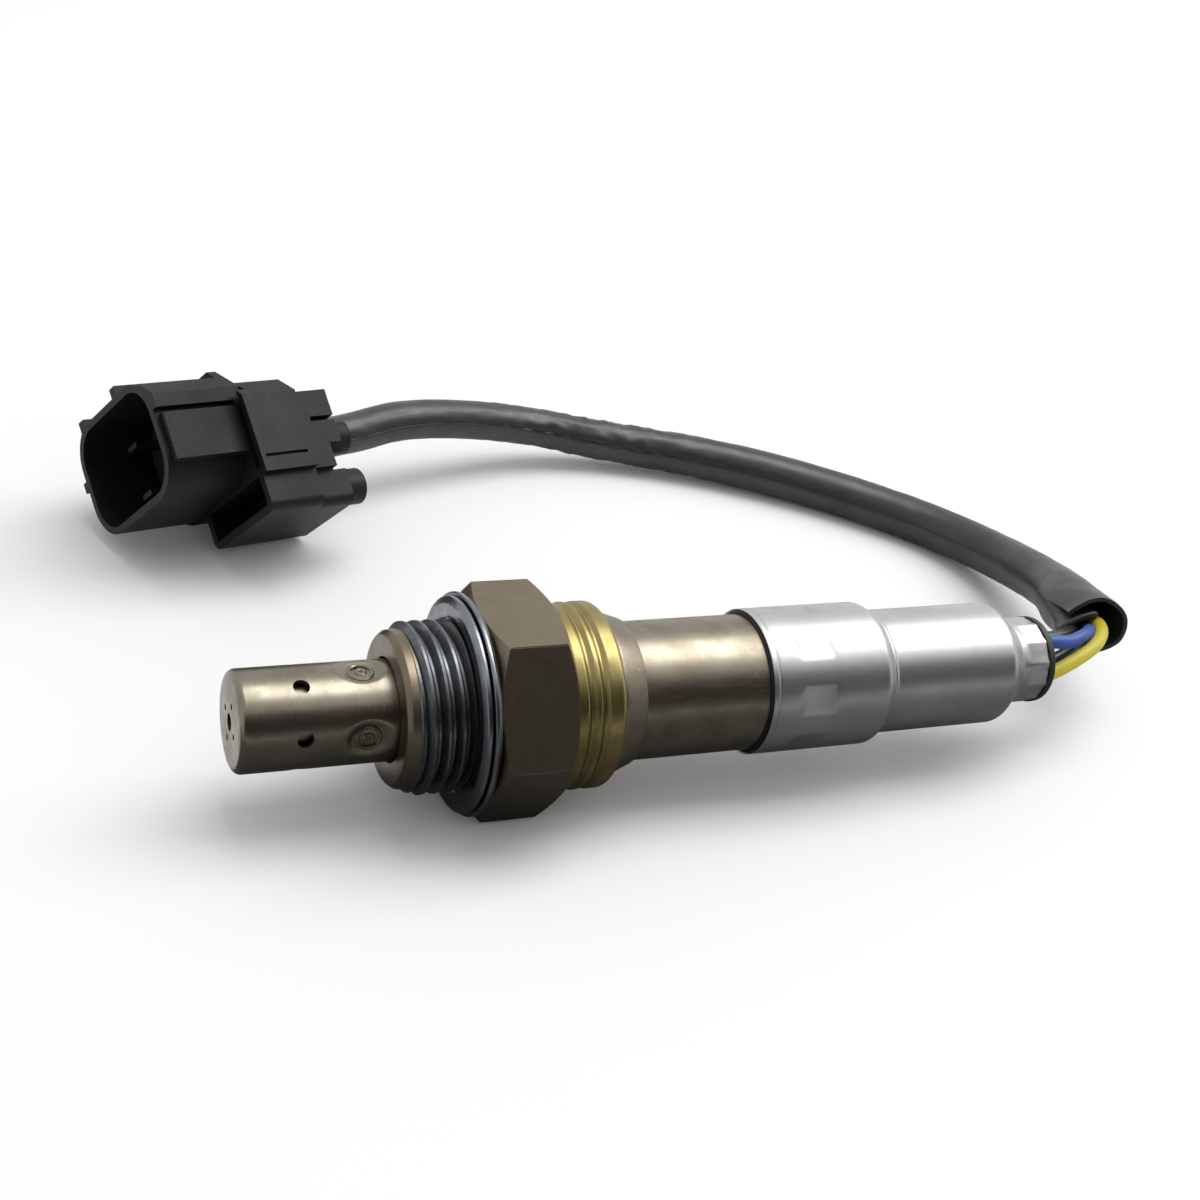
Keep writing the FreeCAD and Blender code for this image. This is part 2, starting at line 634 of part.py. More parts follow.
def make_inner_protector():
    body = turned(
        "inner_protector",
        [
            ("inner_cup_end", None),
            ("inner_cup_end", "inner_cup_radius"),
            ("foot_middle", "inner_cup_radius"),
            ("foot_middle", "foot_radius"),
            ("foot_back", "foot_radius"),
            ("foot_back", "inner_cup_bore"),
            ("inner_cup_inside_end", "inner_cup_bore"),
            ("inner_cup_inside_end", None),
        ],
    )
    hole = new_sketch(body, "inner_gas_hole")
    circle(hole, "inner_hole_radius", "inner_hole_place")
    repeat_round(body, add_pocket(body, hole, "tip_radius", True), "inner_hole_count")
    end_hole = section_sketch(body, "inner_end_hole", "inner_cup_end")
    circle(end_hole, "end_hole_radius")
    add_pocket(body, end_hole, "tip_radius", True)


# Shell with its thread, hexagon and crimped lip
def make_metal_shell():
    body = turned(
        "metal_shell",
        [
            ("nose_face", "nose_bore_radius"),
            ("nose_face", "nose_radius"),
            ("chamfer_end", "chamfer_radius"),
            ("lead_end", "lead_radius"),
            ("thread_start", "thread_radius"),
            (None, "thread_radius"),
            ("relief_slope", "relief_radius"),
            ("hex_front", "relief_radius"),
            ("hex_front", "hex_face_radius"),
            ("hex_front_corner", "hex_corner"),
            ("hex_rear_corner", "hex_corner"),
            ("hex_rear", "hex_face_radius"),
            ("hex_rear", "neck_radius"),
            ("ring_rear", "neck_radius"),
            ("lip_end", "lip_radius"),
            ("lip_end", "lip_bore"),
            ("crimp_end", "lip_bore"),
            ("crimp_start", "rear_bore_radius"),
            ("rear_step", "rear_bore_radius"),
            ("rear_step", "bore_radius"),
            ("seat_place", "bore_radius"),
            ("seat_place", "throat_radius"),
            ("foot_back", "throat_radius"),
            ("foot_back", "foot_bore_radius"),
            ("foot_front", "foot_bore_radius"),
            ("foot_front", "nose_bore_radius"),
        ],
    )
    flats = section_sketch(body, "spanner_flats", "hex_front")
    hexagon(flats, "hex_corner")
    outer = flats.addGeometry(Part.Circle(Vector(), Vector(0, 0, 1), 2 * size("hex_corner")), False)
    flats.addConstraint(Sketcher.Constraint("Coincident", outer, 3, -1, 1))
    number = flats.addConstraint(Sketcher.Constraint("Radius", outer, 2 * size("hex_corner")))
    flats.setExpression(f"Constraints[{number}]", "2 * " + cell("hex_corner"))
    add_pocket(body, flats, "hex_length", True)


def hexagon(sketch, corner_radius):
    """A regular hexagon with level lowest and highest sides."""
    radius = size(corner_radius)
    points = [
        Vector(radius * math.cos(math.radians(60 * step)), radius * math.sin(math.radians(60 * step)), 0)
        for step in range(6)
    ]
    guide = sketch.addGeometry(Part.Circle(Vector(), Vector(0, 0, 1), radius), True)
    sketch.addConstraint(Sketcher.Constraint("Coincident", guide, 3, -1, 1))
    bind(sketch, Sketcher.Constraint("Radius", guide, radius), corner_radius)
    first = sketch.GeometryCount
    for step, point in enumerate(points):
        sketch.addGeometry(Part.LineSegment(point, points[(step + 1) % 6]), False)
    for step in range(6):
        edge, before = first + step, first + (step - 1) % 6
        sketch.addConstraint(Sketcher.Constraint("Coincident", before, 2, edge, 1))
        sketch.addConstraint(Sketcher.Constraint("PointOnObject", edge, 1, guide))
        if step:
            sketch.addConstraint(Sketcher.Constraint("Equal", first, edge))
    sketch.addConstraint(Sketcher.Constraint("Horizontal", first + 1))


def make_gasket_ring():
    body = turned(
        "gasket_ring",
        [
            (None, "gasket_bore"),
            (None, "gasket_front_radius"),
            ("fold_front", "gasket_front_radius"),
            ("fold_front", "gasket_fold_radius"),
            ("fold_rear", "gasket_fold_radius"),
            ("fold_rear", "gasket_rear_radius"),
            ("hex_front", "gasket_rear_radius"),
            ("hex_front", "gasket_seat_bore"),
            ("relief_slope", "gasket_seat_bore"),
            ("relief_slope", "gasket_bore"),
        ],
    )
    round_corner_edges(body, "gasket_front_rounding", None, "gasket_front_radius", "gasket_round")
    round_corner_edges(body, "gasket_rear_rounding", "hex_front", "gasket_rear_radius", "gasket_round")


def make_collar_ring():
    body = turned(
        "collar_ring",
        [
            ("hex_rear", "ring_bore"),
            ("hex_rear", "ring_radius"),
            ("groove_a", "ring_radius"),
            ("groove_a", "ring_groove_radius"),
            ("ridge_a", "ring_groove_radius"),
            ("ridge_a", "ring_radius"),
            ("groove_b", "ring_radius"),
            ("groove_b", "ring_groove_radius"),
            ("ridge_b", "ring_groove_radius"),
            ("ridge_b", "ring_radius"),
            ("ring_rear", "ring_radius"),
            ("ring_rear", "ring_bore"),
        ],
    )
    round_corner_edges(body, "ring_rounding", "ring_rear", "ring_radius", "ring_round")


# Element, heater and the seals that hold them in the shell
def make_sensing_core():
    turned(
        "sensing_element",
        [
            ("element_tip", None),
            ("element_tip", "element_tip_radius"),
            ("foot_front", "element_root_radius"),
            ("element_seat", "element_root_radius"),
            ("element_seat", "element_flange_radius"),
            ("element_flange_rear", "element_flange_radius"),
            ("element_flange_rear", "element_stem_radius"),
            ("element_stem_end", "element_stem_radius"),
            ("element_stem_end", "element_bore"),
            ("element_inside_tip", "element_bore"),
            ("element_inside_tip", None),
        ],
    )
    turned(
        "heater_rod",
        [
            ("heater_tip", None),
            ("heater_tip", "heater_radius"),
            ("heater_end", "heater_radius"),
            ("heater_end", None),
        ],
    )
    ring("seat_packing", "seat_place", "element_seat", "packing_bore", "seat_bore_fit")
    ring("talc_seal", "element_flange_rear", "talc_rear", "stem_fit_radius", "seat_bore_fit")
    ring("insulator_sleeve", "talc_rear", "rear_step", "stem_fit_radius", "seat_bore_fit")
    ring("crimp_packing", "tube_foot_rear", "crimp_start", "lip_bore", "rear_fit_radius")


def ring(name, front, rear, bore, outside):
    """A plain turned ring between two stations."""
    return turned(name, [(front, bore), (front, outside), (rear, outside), (rear, bore)])


# Tube, filter and outer sleeve
def make_housing_tubes():
    turned(
        "inner_tube",
        [
            ("rear_step", "tube_inner_radius"),
            ("rear_step", "rear_fit_radius"),
            ("tube_foot_rear", "rear_fit_radius"),
            ("tube_foot_rear", "tube_radius"),
            ("tube_end", "tube_radius"),
            ("tube_end", "tube_inner_radius"),
        ],
    )
    ring("vent_filter", "filter_front", "filter_rear", "filter_bore", "filter_radius")
    body = turned(
        "outer_sleeve",
        [
            ("sleeve_start", "sleeve_inner_radius"),
            ("sleeve_start", "sleeve_radius"),
            ("sleeve_step", "sleeve_radius"),
            ("sleeve_step_end", "sleeve_rear_radius"),
            ("shoulder_start", "sleeve_rear_radius"),
            ("shoulder_end", "neck_end_radius"),
            ("sleeve_end", "neck_end_radius"),
            ("sleeve_end", "neck_bore"),
            ("shoulder_end", "neck_bore"),
            ("shoulder_start", "sleeve_rear_bore"),
            ("sleeve_step_end", "sleeve_rear_bore"),
            ("sleeve_step", "sleeve_inner_radius"),
        ],
    )
    pad = facing_sketch(body, "crimp_pad", "pad_turn", "pad_height")
    flat_rectangle(pad, "pad_front", "pad_rear", "pad_side")
    repeat_round(body, add_pocket(body, pad, "sleeve_radius", True), "pad_count")
    flute = facing_sketch(body, "neck_flute", "pad_turn", "flute_height")
    flat_rectangle(flute, "flute_front", "flute_rear", "flute_side")
    repeat_round(body, add_pocket(body, flute, "sleeve_radius", True), "pad_count")


def flat_rectangle(sketch, front, rear, side):
    """A rectangle between two stations, symmetric about the X axis."""
    low, high = -size(side), size(side)
    points = [
        Vector(size(front), low, 0),
        Vector(size(rear), low, 0),
        Vector(size(rear), high, 0),
        Vector(size(front), high, 0),
    ]
    first = sketch.GeometryCount
    for number, point in enumerate(points):
        sketch.addGeometry(Part.LineSegment(point, points[(number + 1) % 4]), False)
    for number in range(4):
        edge, before = first + number, first + (number - 1) % 4
        sketch.addConstraint(Sketcher.Constraint("Coincident", before, 2, edge, 1))
    for edge, direction in ((first, "Horizontal"), (first + 2, "Horizontal"), (first + 3, "Vertical")):
        sketch.addConstraint(Sketcher.Constraint(direction, edge))
    sketch.addConstraint(Sketcher.Constraint("Symmetric", first + 1, 1, first + 1, 2, -1))
    bind(sketch, Sketcher.Constraint("DistanceX", -1, 1, first, 1, size(front)), front)
    bind(sketch, Sketcher.Constraint("DistanceX", -1, 1, first + 2, 1, size(rear)), rear)
    bind(sketch, Sketcher.Constraint("DistanceY", -1, 1, first + 2, 1, size(side)), side)


# Contacts and lead exit
def wire_angle(number):
    """Degrees from the far side, rising; the first wire is the top one, a little towards the near side."""
    return 90.0 + size("contact_turn") + 360.0 * number / size("wire_count")


def make_contact_bush():
    body = turned(
        "contact_bush",
        [
            ("bush_start", None),
            ("bush_start", "bush_radius"),
            ("tube_end", "bush_radius"),
            ("tube_end", "grommet_radius"),
            ("bush_end", "grommet_radius"),
            ("bush_end", None),
        ],
    )
    slot = section_sketch(body, "contact_slot", turn=wire_angle(0))
    fit = size("slip_fit")
    half_width, half_thick = size("contact_width") / 2 + fit, size("contact_thickness") / 2 + fit
    centre = size("contact_circle")
    corners = [(-1, -1), (1, -1), (1, 1), (-1, 1)]
    points = [Vector(centre + across * half_thick, up * half_width, 0) for across, up in corners]
    for number, point in enumerate(points):
        slot.addGeometry(Part.LineSegment(point, points[(number + 1) % 4]), False)
    for number in range(4):
        slot.addConstraint(Sketcher.Constraint("Coincident", (number - 1) % 4, 2, number, 1))
    for edge, direction in ((0, "Horizontal"), (2, "Horizontal"), (3, "Vertical")):
        slot.addConstraint(Sketcher.Constraint(direction, edge))
    slot.addConstraint(Sketcher.Constraint("Symmetric", 1, 1, 1, 2, -1))
    formulas = {
        ("DistanceX", 0, 1): "Sizes.contact_circle - Sizes.contact_thickness / 2 - Sizes.slip_fit",
        ("DistanceX", 1, 1): "Sizes.contact_circle + Sizes.contact_thickness / 2 + Sizes.slip_fit",
        ("DistanceY", 2, 1): "Sizes.contact_width / 2 + Sizes.slip_fit",
    }
    values = [centre - half_thick, centre + half_thick, half_width]
    for ((kind, edge, end), formula), value in zip(formulas.items(), values):
        number = slot.addConstraint(Sketcher.Constraint(kind, -1, 1, edge, end, value))
        slot.setExpression(f"Constraints[{number}]", formula)
    repeat_round(body, add_pocket(body, slot, "bush_end", True), "wire_count")
    barrel = section_sketch(body, "barrel_bore", "barrel_start", wire_angle(0))
    circle(barrel, "barrel_bore_radius", "contact_circle")
    repeat_round(body, add_pocket(body, barrel, "barrel_length", True), "wire_count")


def make_contact_springs():
    """Four strip contacts, each with a crimp barrel for its wire."""
    strips = []
    for number in range(SIZES["wire_count"]):
        turn = Rotation(Vector(1, 0, 0), wire_angle(number))
        length = size("barrel_start") - size("contact_start")
        strip = Part.makeBox(length, size("contact_thickness"), size("contact_width"))
        corner = Vector(size("contact_start"), size("contact_inside"), -size("contact_width") / 2)
        strip.Placement = Placement(corner, Rotation())
        start = Vector(size("barrel_start"), size("contact_circle"), 0)
        barrel = Part.makeCylinder(size("barrel_radius"), size("barrel_length"), start, Vector(1, 0, 0))
        socket_start = start + Vector(size("barrel_length") / 2, 0, 0)
        socket = Part.makeCylinder(size("wire_bore"), size("barrel_length"), socket_start, Vector(1, 0, 0))
        contact = strip.fuse(barrel).cut(socket)
        strips.append(contact.transformGeometry(Placement(Vector(), turn).toMatrix()))
    show_shape("contact_springs", Part.makeCompound(strips))


def show_shape(name, shape, placement=None):
    feature = doc.addObject("Part::Feature", name)
    feature.Label = name
    feature.Shape = shape
    feature.Placement = placement or Placement()
    return feature


def make_grommet():
    body = turned(
        "cable_grommet",
        [
            ("bush_end", None),
            ("bush_end", "grommet_radius"),
            ("shoulder_start", "grommet_radius"),
            ("shoulder_end", "grommet_neck_radius"),
            ("grommet_end", "grommet_neck_radius"),
            ("grommet_end", None),
        ],
    )
    round_corner_edges(body, "grommet_rounding", "grommet_end", "grommet_neck_radius", "grommet_round")
    bore = section_sketch(body, "wire_hole", turn=wire_angle(0))
    circle(bore, "wire_bore", "contact_circle")
    repeat_round(body, add_pocket(body, bore, "grommet_end", True), "wire_count")


# Wires and sheath, swept along straight runs joined by tangent arcs
def bend_radii(points):
    radii = []
    for before, corner, after in zip(points, points[1:], points[2:]):
        inward, outward = corner - before, after - corner
        half_turn = inward.getAngle(outward) / 2
        radii.append(BEND_SHARE * min(inward.Length, outward.Length) / math.tan(half_turn))
    return radii


def bent_path(points):
    """A wire of straight runs through the points, with a tangent arc at each turn."""
    edges, start = [], points[0]
    for (before, corner, after), radius in zip(zip(points, points[1:], points[2:]), bend_radii(points)):
        inward, outward = (corner - before).normalize(), (after - corner).normalize()
        half_turn = inward.getAngle(outward) / 2
        reach = radius * math.tan(half_turn)
        arc_start, arc_end = corner - inward * reach, corner + outward * reach
        towards_centre = (outward - inward).normalize()
        centre = corner + towards_centre * (radius / math.cos(half_turn))
        middle = centre - towards_centre * radius
        edges.append(Part.LineSegment(start, arc_start).toShape())
        edges.append(Part.Arc(arc_start, middle, arc_end).toShape())
        start = arc_end
    edges.append(Part.LineSegment(start, points[-1]).toShape())
    return Part.Wire(edges)


def rod_along(path, radius):
    """A round solid swept along a path."""
    edge = path.Edges[0]
    start, direction = edge.firstVertex().Point, edge.tangentAt(edge.FirstParameter)
    if path.Vertexes[0].Point.distanceToPoint(start) > 1e-6:
        start, direction = edge.lastVertex().Point, edge.tangentAt(edge.LastParameter) * -1
    section = Part.Wire(Part.makeCircle(radius, start, direction))
    solid = path.makePipeShell([section], True, False)
    expected = math.pi * radius**2 * path.Length
    if abs(solid.Volume - expected) > 0.01 * expected:
        raise RuntimeError("a swept solid has the wrong volume")
    return solid


def connector_placement():
    lean = Rotation(Vector(0, 1, 0), REAR_DIP).multiply(Rotation(Vector(1, 0, 0), ROLL))
    turn = Rotation(Vector(0, 0, 1), HEADING).multiply(lean)
    return Placement(CONNECTOR_POINT, turn)


def make_sheath():
    place = connector_placement()
    route = [Vector(*point) for point in SHEATH_ROUTE]
    route.append(place.multVec(Vector(size("rear_face") + SHEATH_LAST_RUN, 0, 0)))
    route.append(place.multVec(Vector(size("rear_face"), 0, 0)))
    path = bent_path(route)
    print("sheath bend radii:", [round(radius, 1) for radius in bend_radii(route)])
    print("sheath length:", round(path.Length, 1))
    outside = rod_along(path, size("sheath_radius"))
    inside = rod_along(path, size("sheath_radius") - size("sheath_wall"))
    show_shape("cable_sheath", outside.cut(inside))


def make_wires():
    """Short stretches of the four wires, from their contacts to well inside the sheath's open end."""
    mouth, second = Vector(*SHEATH_ROUTE[0]), Vector(*SHEATH_ROUTE[1])
    inwards = (second - mouth).normalize()
    sideways = Vector(-inwards.y, inwards.x, 0).normalize()
    upwards = inwards.cross(sideways)
    heading = Vector(inwards.x, inwards.y, 0).normalize()
    half_turn = Vector(1, 0, 0).getAngle(heading) / 2
    turn_out = (Vector(1, 0, 0) - heading).normalize() / math.cos(half_turn)
    for number, name in enumerate(WIRE_NAMES):
        angle = math.radians(wire_angle(number))
        side, rise = size("wire_lane") * math.cos(angle), size("wire_lane") * math.sin(angle)
        circle_y, circle_z = size("contact_circle") * math.cos(angle), size("contact_circle") * math.sin(angle)
        lane = sideways * side + upwards * rise
        points = [
            Vector(size("barrel_start") + size("barrel_length") / 2, circle_y, circle_z),
            Vector(size("grommet_end") + size("wire_straight"), circle_y, circle_z),
            WIRE_TURN - turn_out * side + Vector(0, 0, rise),
            mouth + inwards * size("wire_depth") / 3 + lane,
            mouth + inwards * size("wire_depth") + lane,
        ]
        print(name, "bend radii:", [round(radius, 1) for radius in bend_radii(points)])
        show_shape(name, rod_along(bent_path(points), size("wire_radius")))


# Connector, drawn in its own frame: X runs to the rear, Z is square to the broad face
def box_sides(left, right, low, high, round_size=None):
    return [
        ("level", low, round_size),
        ("upright", right, round_size),
        ("level", high, round_size),
        ("upright", left, round_size),
    ]


def collar_outline(top, latch_top):
    """The collar with the arch of its latch on the left side."""
    return [
        ("level", "collar_low", "collar_round"),
        ("upright", "collar_right", "collar_top_round"),
        ("level", top, None),
        ("upright", "collar_left_side", None),
        ("level", latch_top, "latch_round"),
        ("upright", "latch_left_side", "latch_round"),
        ("level", "latch_low", None),
        ("upright", "collar_left_side", "collar_round"),
    ]


def section_pad(body, name, sides, length, forwards=False, place=None):
    sketch = section_sketch(body, name, place)
    rounded_outline(sketch, sides)
    return add_pad(body, sketch, length, forwards)


def section_pocket(body, name, sides, length, place=None):
    sketch = section_sketch(body, name, place)
    rounded_outline(sketch, sides)
    return add_pocket(body, sketch, length, True)


def make_connector_housing():
    body = new_body("connector_housing")
    section_pad(body, "rear_block", collar_outline("low_top", "low_latch_top"), "body_length")
    section_pad(body, "collar", collar_outline("collar_top", "latch_top"), "block_length")
    shroud = box_sides("shroud_left", "shroud_right", "shroud_low", "shroud_top", "shroud_round")
    section_pad(body, "shroud", shroud, "shroud_length", True)
    band = box_sides("band_left_side", "band_right", "rib_root_height", "band_top")
    section_pad(body, "raised_band", band, "band_length", True)
    corner = box_sides("corner_left_side", "corner_right", "rib_root_height", "band_top")
    section_pad(body, "corner_rib", corner, "shroud_length", True)
    key = box_sides("rib_root_width", "key_tip", "key_low", "key_high")
    section_pad(body, "side_key", key, "shroud_length", True)
    low_key = box_sides("rib_root_width", "low_key_tip", "low_key_low", "low_key_high")
    section_pad(body, "low_key", low_key, "shroud_length", True)
    foot_key = box_sides("foot_key_left", "foot_key_right", "foot_key_tip", "foot_rib_root")
    section_pad(body, "foot_key", foot_key, "shroud_length", True)
    gap = box_sides("gap_left_side", "gap_right", "band_top", "gap_top")
    section_pocket(body, "front_gap", gap, "collar_depth")
    pocket = box_sides("latch_pocket_left", "collar_left_side", "latch_pocket_low", "latch_pocket_top")
    section_pocket(body, "latch_pocket", pocket, "collar_depth")
    tower = section_sketch(body, "rear_tower", "body_end")
    circle(tower, "tower_radius", "tower_left_side", "tower_up")
    circle(tower, "port_radius")
    add_pad(body, tower, "tower_length")
    socket = box_sides("mouth_left", "mouth_half_width", "mouth_low", "mouth_half_height", "mouth_round")
    section_pocket(body, "socket", socket, "socket_depth", "mouth_face")
    seal = section_sketch(body, "seal_bore", "rear_face")
    circle(seal, "seal_radius")
    add_pocket(body, seal, "seal_depth")
    body.Placement = connector_placement()


def make_connector_inside():
    """The carrier with its four blades, and the seal round the wires."""
    carrier = new_body("blade_carrier")
    plate = box_sides("carrier_left", "carrier_right", "carrier_low", "carrier_high", "mouth_round")
    section_pad(carrier, "carrier_plate", plate, "carrier_thickness", place="carrier_front")
    slots = section_sketch(carrier, "blade_slots", "carrier_front")
    for left, right in (("slot_near_side", "slot_far_side"), ("slot_far_side_left", "slot_near_side_left")):
        rounded_outline(slots, box_sides(left, right, "slot_low", "slot_high"))
        rounded_outline(slots, box_sides(left, right, "slot_high_below", "slot_low_below"))
    add_pocket(carrier, slots, "carrier_thickness", True)
    carrier.Placement = connector_placement()
    blades = []
    for number, (across, up) in enumerate([(1, 1), (-1, 1), (-1, -1), (1, -1)], start=1):
        blade = doc.addObject("Part::Box", f"blade_{number}")
        blade.setExpression("Length", "Sizes.blade_reach + Sizes.carrier_thickness")
        blade.setExpression("Width", "Sizes.blade_thickness")
        blade.setExpression("Height", "Sizes.blade_width")
        blade.setExpression("Placement.Base.x", "Places.blade_front")
        place = f"{across} * Sizes.blade_row_width - Sizes.blade_thickness / 2"
        blade.setExpression("Placement.Base.y", place)
        blade.setExpression("Placement.Base.z", f"{up} * Sizes.blade_row_height - Sizes.blade_width / 2")
        blades.append(blade)
    row = doc.addObject("Part::Compound", "connector_blades")
    row.Label = "connector_blades"
    row.Links = blades
    row.Placement = connector_placement()
    seal = turned(
        "cable_seal",
        [("seal_front", None), ("seal_front", "seal_fit"), ("rear_face", "seal_fit"), ("rear_face", None)],
    )
    seal.Placement = connector_placement()


make_outer_protector()
make_inner_protector()
make_metal_shell()
make_gasket_ring()
make_collar_ring()
make_sensing_core()
make_housing_tubes()
make_contact_bush()
make_contact_springs()
make_grommet()
make_sheath()
make_wires()
make_connector_housing()
make_connector_inside()
doc.recompute()

# Every piece is checked before anything is written
pieces = [item for item in doc.Objects if item.TypeId in ("PartDesign::Body", "Part::Feature", "Part::Compound")]
for item in doc.Objects:
    if "Invalid" in item.State or "Error" in item.State:
        raise RuntimeError(f"{item.Label} was not built: {item.State}")
for piece in pieces:
    if piece.Shape.isNull() or not piece.Shape.isValid() or piece.Shape.Volume <= 0:
        raise RuntimeError(f"{piece.Label} has no valid shape")
os.makedirs("parts", exist_ok=True)
for piece in pieces:
    piece.Shape.exportStep(f"parts/{piece.Label}.step")
print("pieces written:", len(pieces))
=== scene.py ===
"""Oxygen sensor: perforated gas tip, threaded steel body, stepped sleeve, and a short sheathed lead.

Sizes are in millimetres in the CAD model's frame: x runs along the sensor's axis towards the lead, z is up,
and the origin lies on the axis at the gasket's front face.
"""

import logging
import math
from dataclasses import dataclass, field
from enum import Enum
from typing import Callable, Optional, Sequence

import bmesh
import bpy
from mathutils import Matrix, Vector, noise


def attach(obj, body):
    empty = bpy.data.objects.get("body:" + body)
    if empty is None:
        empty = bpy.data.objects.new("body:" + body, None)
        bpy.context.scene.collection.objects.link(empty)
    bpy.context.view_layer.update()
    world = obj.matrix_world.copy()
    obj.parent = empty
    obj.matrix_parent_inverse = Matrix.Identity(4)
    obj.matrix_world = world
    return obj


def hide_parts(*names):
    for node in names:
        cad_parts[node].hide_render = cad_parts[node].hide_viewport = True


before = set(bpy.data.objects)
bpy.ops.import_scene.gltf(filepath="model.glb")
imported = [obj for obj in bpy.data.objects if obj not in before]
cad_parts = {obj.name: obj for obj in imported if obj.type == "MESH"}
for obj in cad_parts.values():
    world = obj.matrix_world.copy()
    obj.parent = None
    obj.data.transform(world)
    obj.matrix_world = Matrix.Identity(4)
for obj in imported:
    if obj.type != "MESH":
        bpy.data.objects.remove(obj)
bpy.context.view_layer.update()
log = logging.getLogger("oxygen_sensor")

Place = tuple[float, float, float]
Outline = Sequence[tuple[float, ...]]
Box = tuple[Place, Place]

MM = 0.001
# Corners nearer than this, in metres, are one corner.
WELD = 1e-7
# The wires' circle in the grommet, in mm, and the first one's angle, in degrees.
WIRE_COUNT = 4
WIRE_CIRCLE = 2.9
WIRE_FIRST_TURN = 105.0
# Noise levels between which a finish's patches, specks and roughness go from one end to the other.
PATCH_LEVELS = (0.35, 0.65)
FLECK_LEVELS = (0.72, 0.78)
ROUGH_LEVELS = (0.75, 1.25)
# Size of a finish's specks, in mm: specks of wear or dust, and on the tip, brass ring and tube also painted
# glints.
FLECK_SIZE = 0.9
# Roughness of the stage's paper and felt.
PAPER_ROUGHNESS = 0.9


# Modelling by operators


def fresh() -> None:
    """Leaves edit mode and deselects everything."""
    if bpy.context.object and bpy.context.object.mode != "OBJECT":
        bpy.ops.object.mode_set(mode="OBJECT")
    bpy.ops.object.select_all(action="DESELECT")


def hold(piece: bpy.types.Object) -> None:
    """Makes a piece the only selected one."""
    fresh()
    piece.select_set(True)
    bpy.context.view_layer.objects.active = piece


def edit(piece: bpy.types.Object) -> None:
    """Opens a piece in edit mode with all of its vertices selected."""
    hold(piece)
    bpy.ops.object.mode_set(mode="EDIT")
    bpy.ops.mesh.select_mode(type="VERT")
    bpy.ops.mesh.select_all(action="SELECT")


def pick(piece: bpy.types.Object, kind: str, test: Callable[..., bool]) -> int:
    """Selects the parts of an edited mesh that pass a test of their place or normal.

    Args:
        piece: The object in edit mode.
        kind: "verts", "edges" or "faces".
        test: Says whether one vertex, edge or face is wanted.

    Returns:
        How many were selected.
    """
    bpy.ops.mesh.select_mode(type={"verts": "VERT", "edges": "EDGE", "faces": "FACE"}[kind])
    bpy.ops.mesh.select_all(action="DESELECT")
    net = bmesh.from_edit_mesh(piece.data)
    wanted = [part for part in getattr(net, kind) if test(part)]
    for part in wanted:
        part.select_set(True)
    net.select_flush_mode()
    bmesh.update_edit_mesh(piece.data)
    return len(wanted)


def added(name: str) -> bpy.types.Object:
    """Names the primitive that an operator has just added, and moves its place into its mesh."""
    piece = bpy.context.object
    piece.name = piece.data.name = name
    bpy.ops.object.transform_apply(location=True, rotation=True, scale=True)
    return piece


def modify(piece: bpy.types.Object, kind: str, **settings: object) -> None:
    """Adds a modifier with its settings and applies it.

    Args:
        piece: The object that is changed.
        kind: The modifier's type.
        settings: Its properties by name.
    """
    hold(piece)
    change = piece.modifiers.new(kind.lower(), kind)
    for key, value in settings.items():
        setattr(change, key, value)
    bpy.ops.object.modifier_apply(modifier=change.name)


def carve(piece: bpy.types.Object, tool: bpy.types.Object, operation: str = "DIFFERENCE") -> None:
    """Cuts, joins or trims a piece with a tool solid, which is used up.

    Args:
        piece: The object that is changed.
        tool: The other solid.
        operation: "DIFFERENCE", "UNION" or "INTERSECT".
    """
    modify(piece, "BOOLEAN", object=tool, operation=operation, solver="EXACT")
    bpy.data.objects.remove(tool, do_unlink=True)


def joined(name: str, pieces: Sequence[bpy.types.Object]) -> bpy.types.Object:
    """Joins loose pieces into one object.

    Args:
        name: The object's new name.
        pieces: The pieces; the others become part of the first.

    Returns:
        The first piece.
    """
    hold(pieces[0])
    for piece in pieces:
        piece.select_set(True)
    bpy.ops.object.join()
    pieces[0].name = pieces[0].data.name = name
    return pieces[0]


def smooth(piece: bpy.types.Object, degrees: float = 35.0) -> bpy.types.Object:
    """Shades a piece smooth, with edges sharper than an angle kept crisp."""
    hold(piece)
    bpy.ops.object.shade_smooth_by_angle(angle=math.radians(degrees))
    return piece


def keep_flats(piece: bpy.types.Object) -> bpy.types.Object:
    """Weights a piece's normals by face size, so that its flats stay flat beside rounded edges."""
    modify(piece, "WEIGHTED_NORMAL", keep_sharp=True, weight=90)
    return piece


def sealed(piece: bpy.types.Object) -> bpy.types.Object:
    """Merges an edited mesh's doubled corners, turns its faces outwards and leaves edit mode."""
    bpy.ops.mesh.select_all(action="SELECT")
    bpy.ops.mesh.remove_doubles(threshold=WELD)
    bpy.ops.mesh.normals_make_consistent(inside=False)
    bpy.ops.object.mode_set(mode="OBJECT")
    return piece


def dent(piece: bpy.types.Object, depth: float, share: Callable[[float, float], float]) -> None:
    """Sinks parts of a turned skin towards its inside.

    Args:
        piece: The skin.
        depth: Depth in mm where the share is 1.
        share: Gives the share from a station and an angle in degrees from +Z towards -Y.
    """
    sunk = piece.vertex_groups.new(name="sunk")
    for corner in piece.data.vertices:
        x, y, z = corner.co / MM
        part = share(x, math.degrees(math.atan2(-y, z)))
        if part > 0.0:
            sunk.add([corner.index], min(1.0, part), "REPLACE")
    modify(piece, "DISPLACE", vertex_group="sunk", strength=-depth * MM, mid_level=0.0)
    piece.vertex_groups.clear()


def off_angle(angle: float, first: float, step: float) -> float:
    """Degrees between an angle and the nearest of a ring of evenly stepped ones."""
    return (angle - first + step / 2) % step - step / 2


def chord(radius: float, depth: float, turn: float) -> float:
    """How deep a flat pressed on a round lies at some degrees from its middle, as a share of its depth."""
    return max(0.0, radius - (radius - depth) / math.cos(math.radians(turn))) / depth


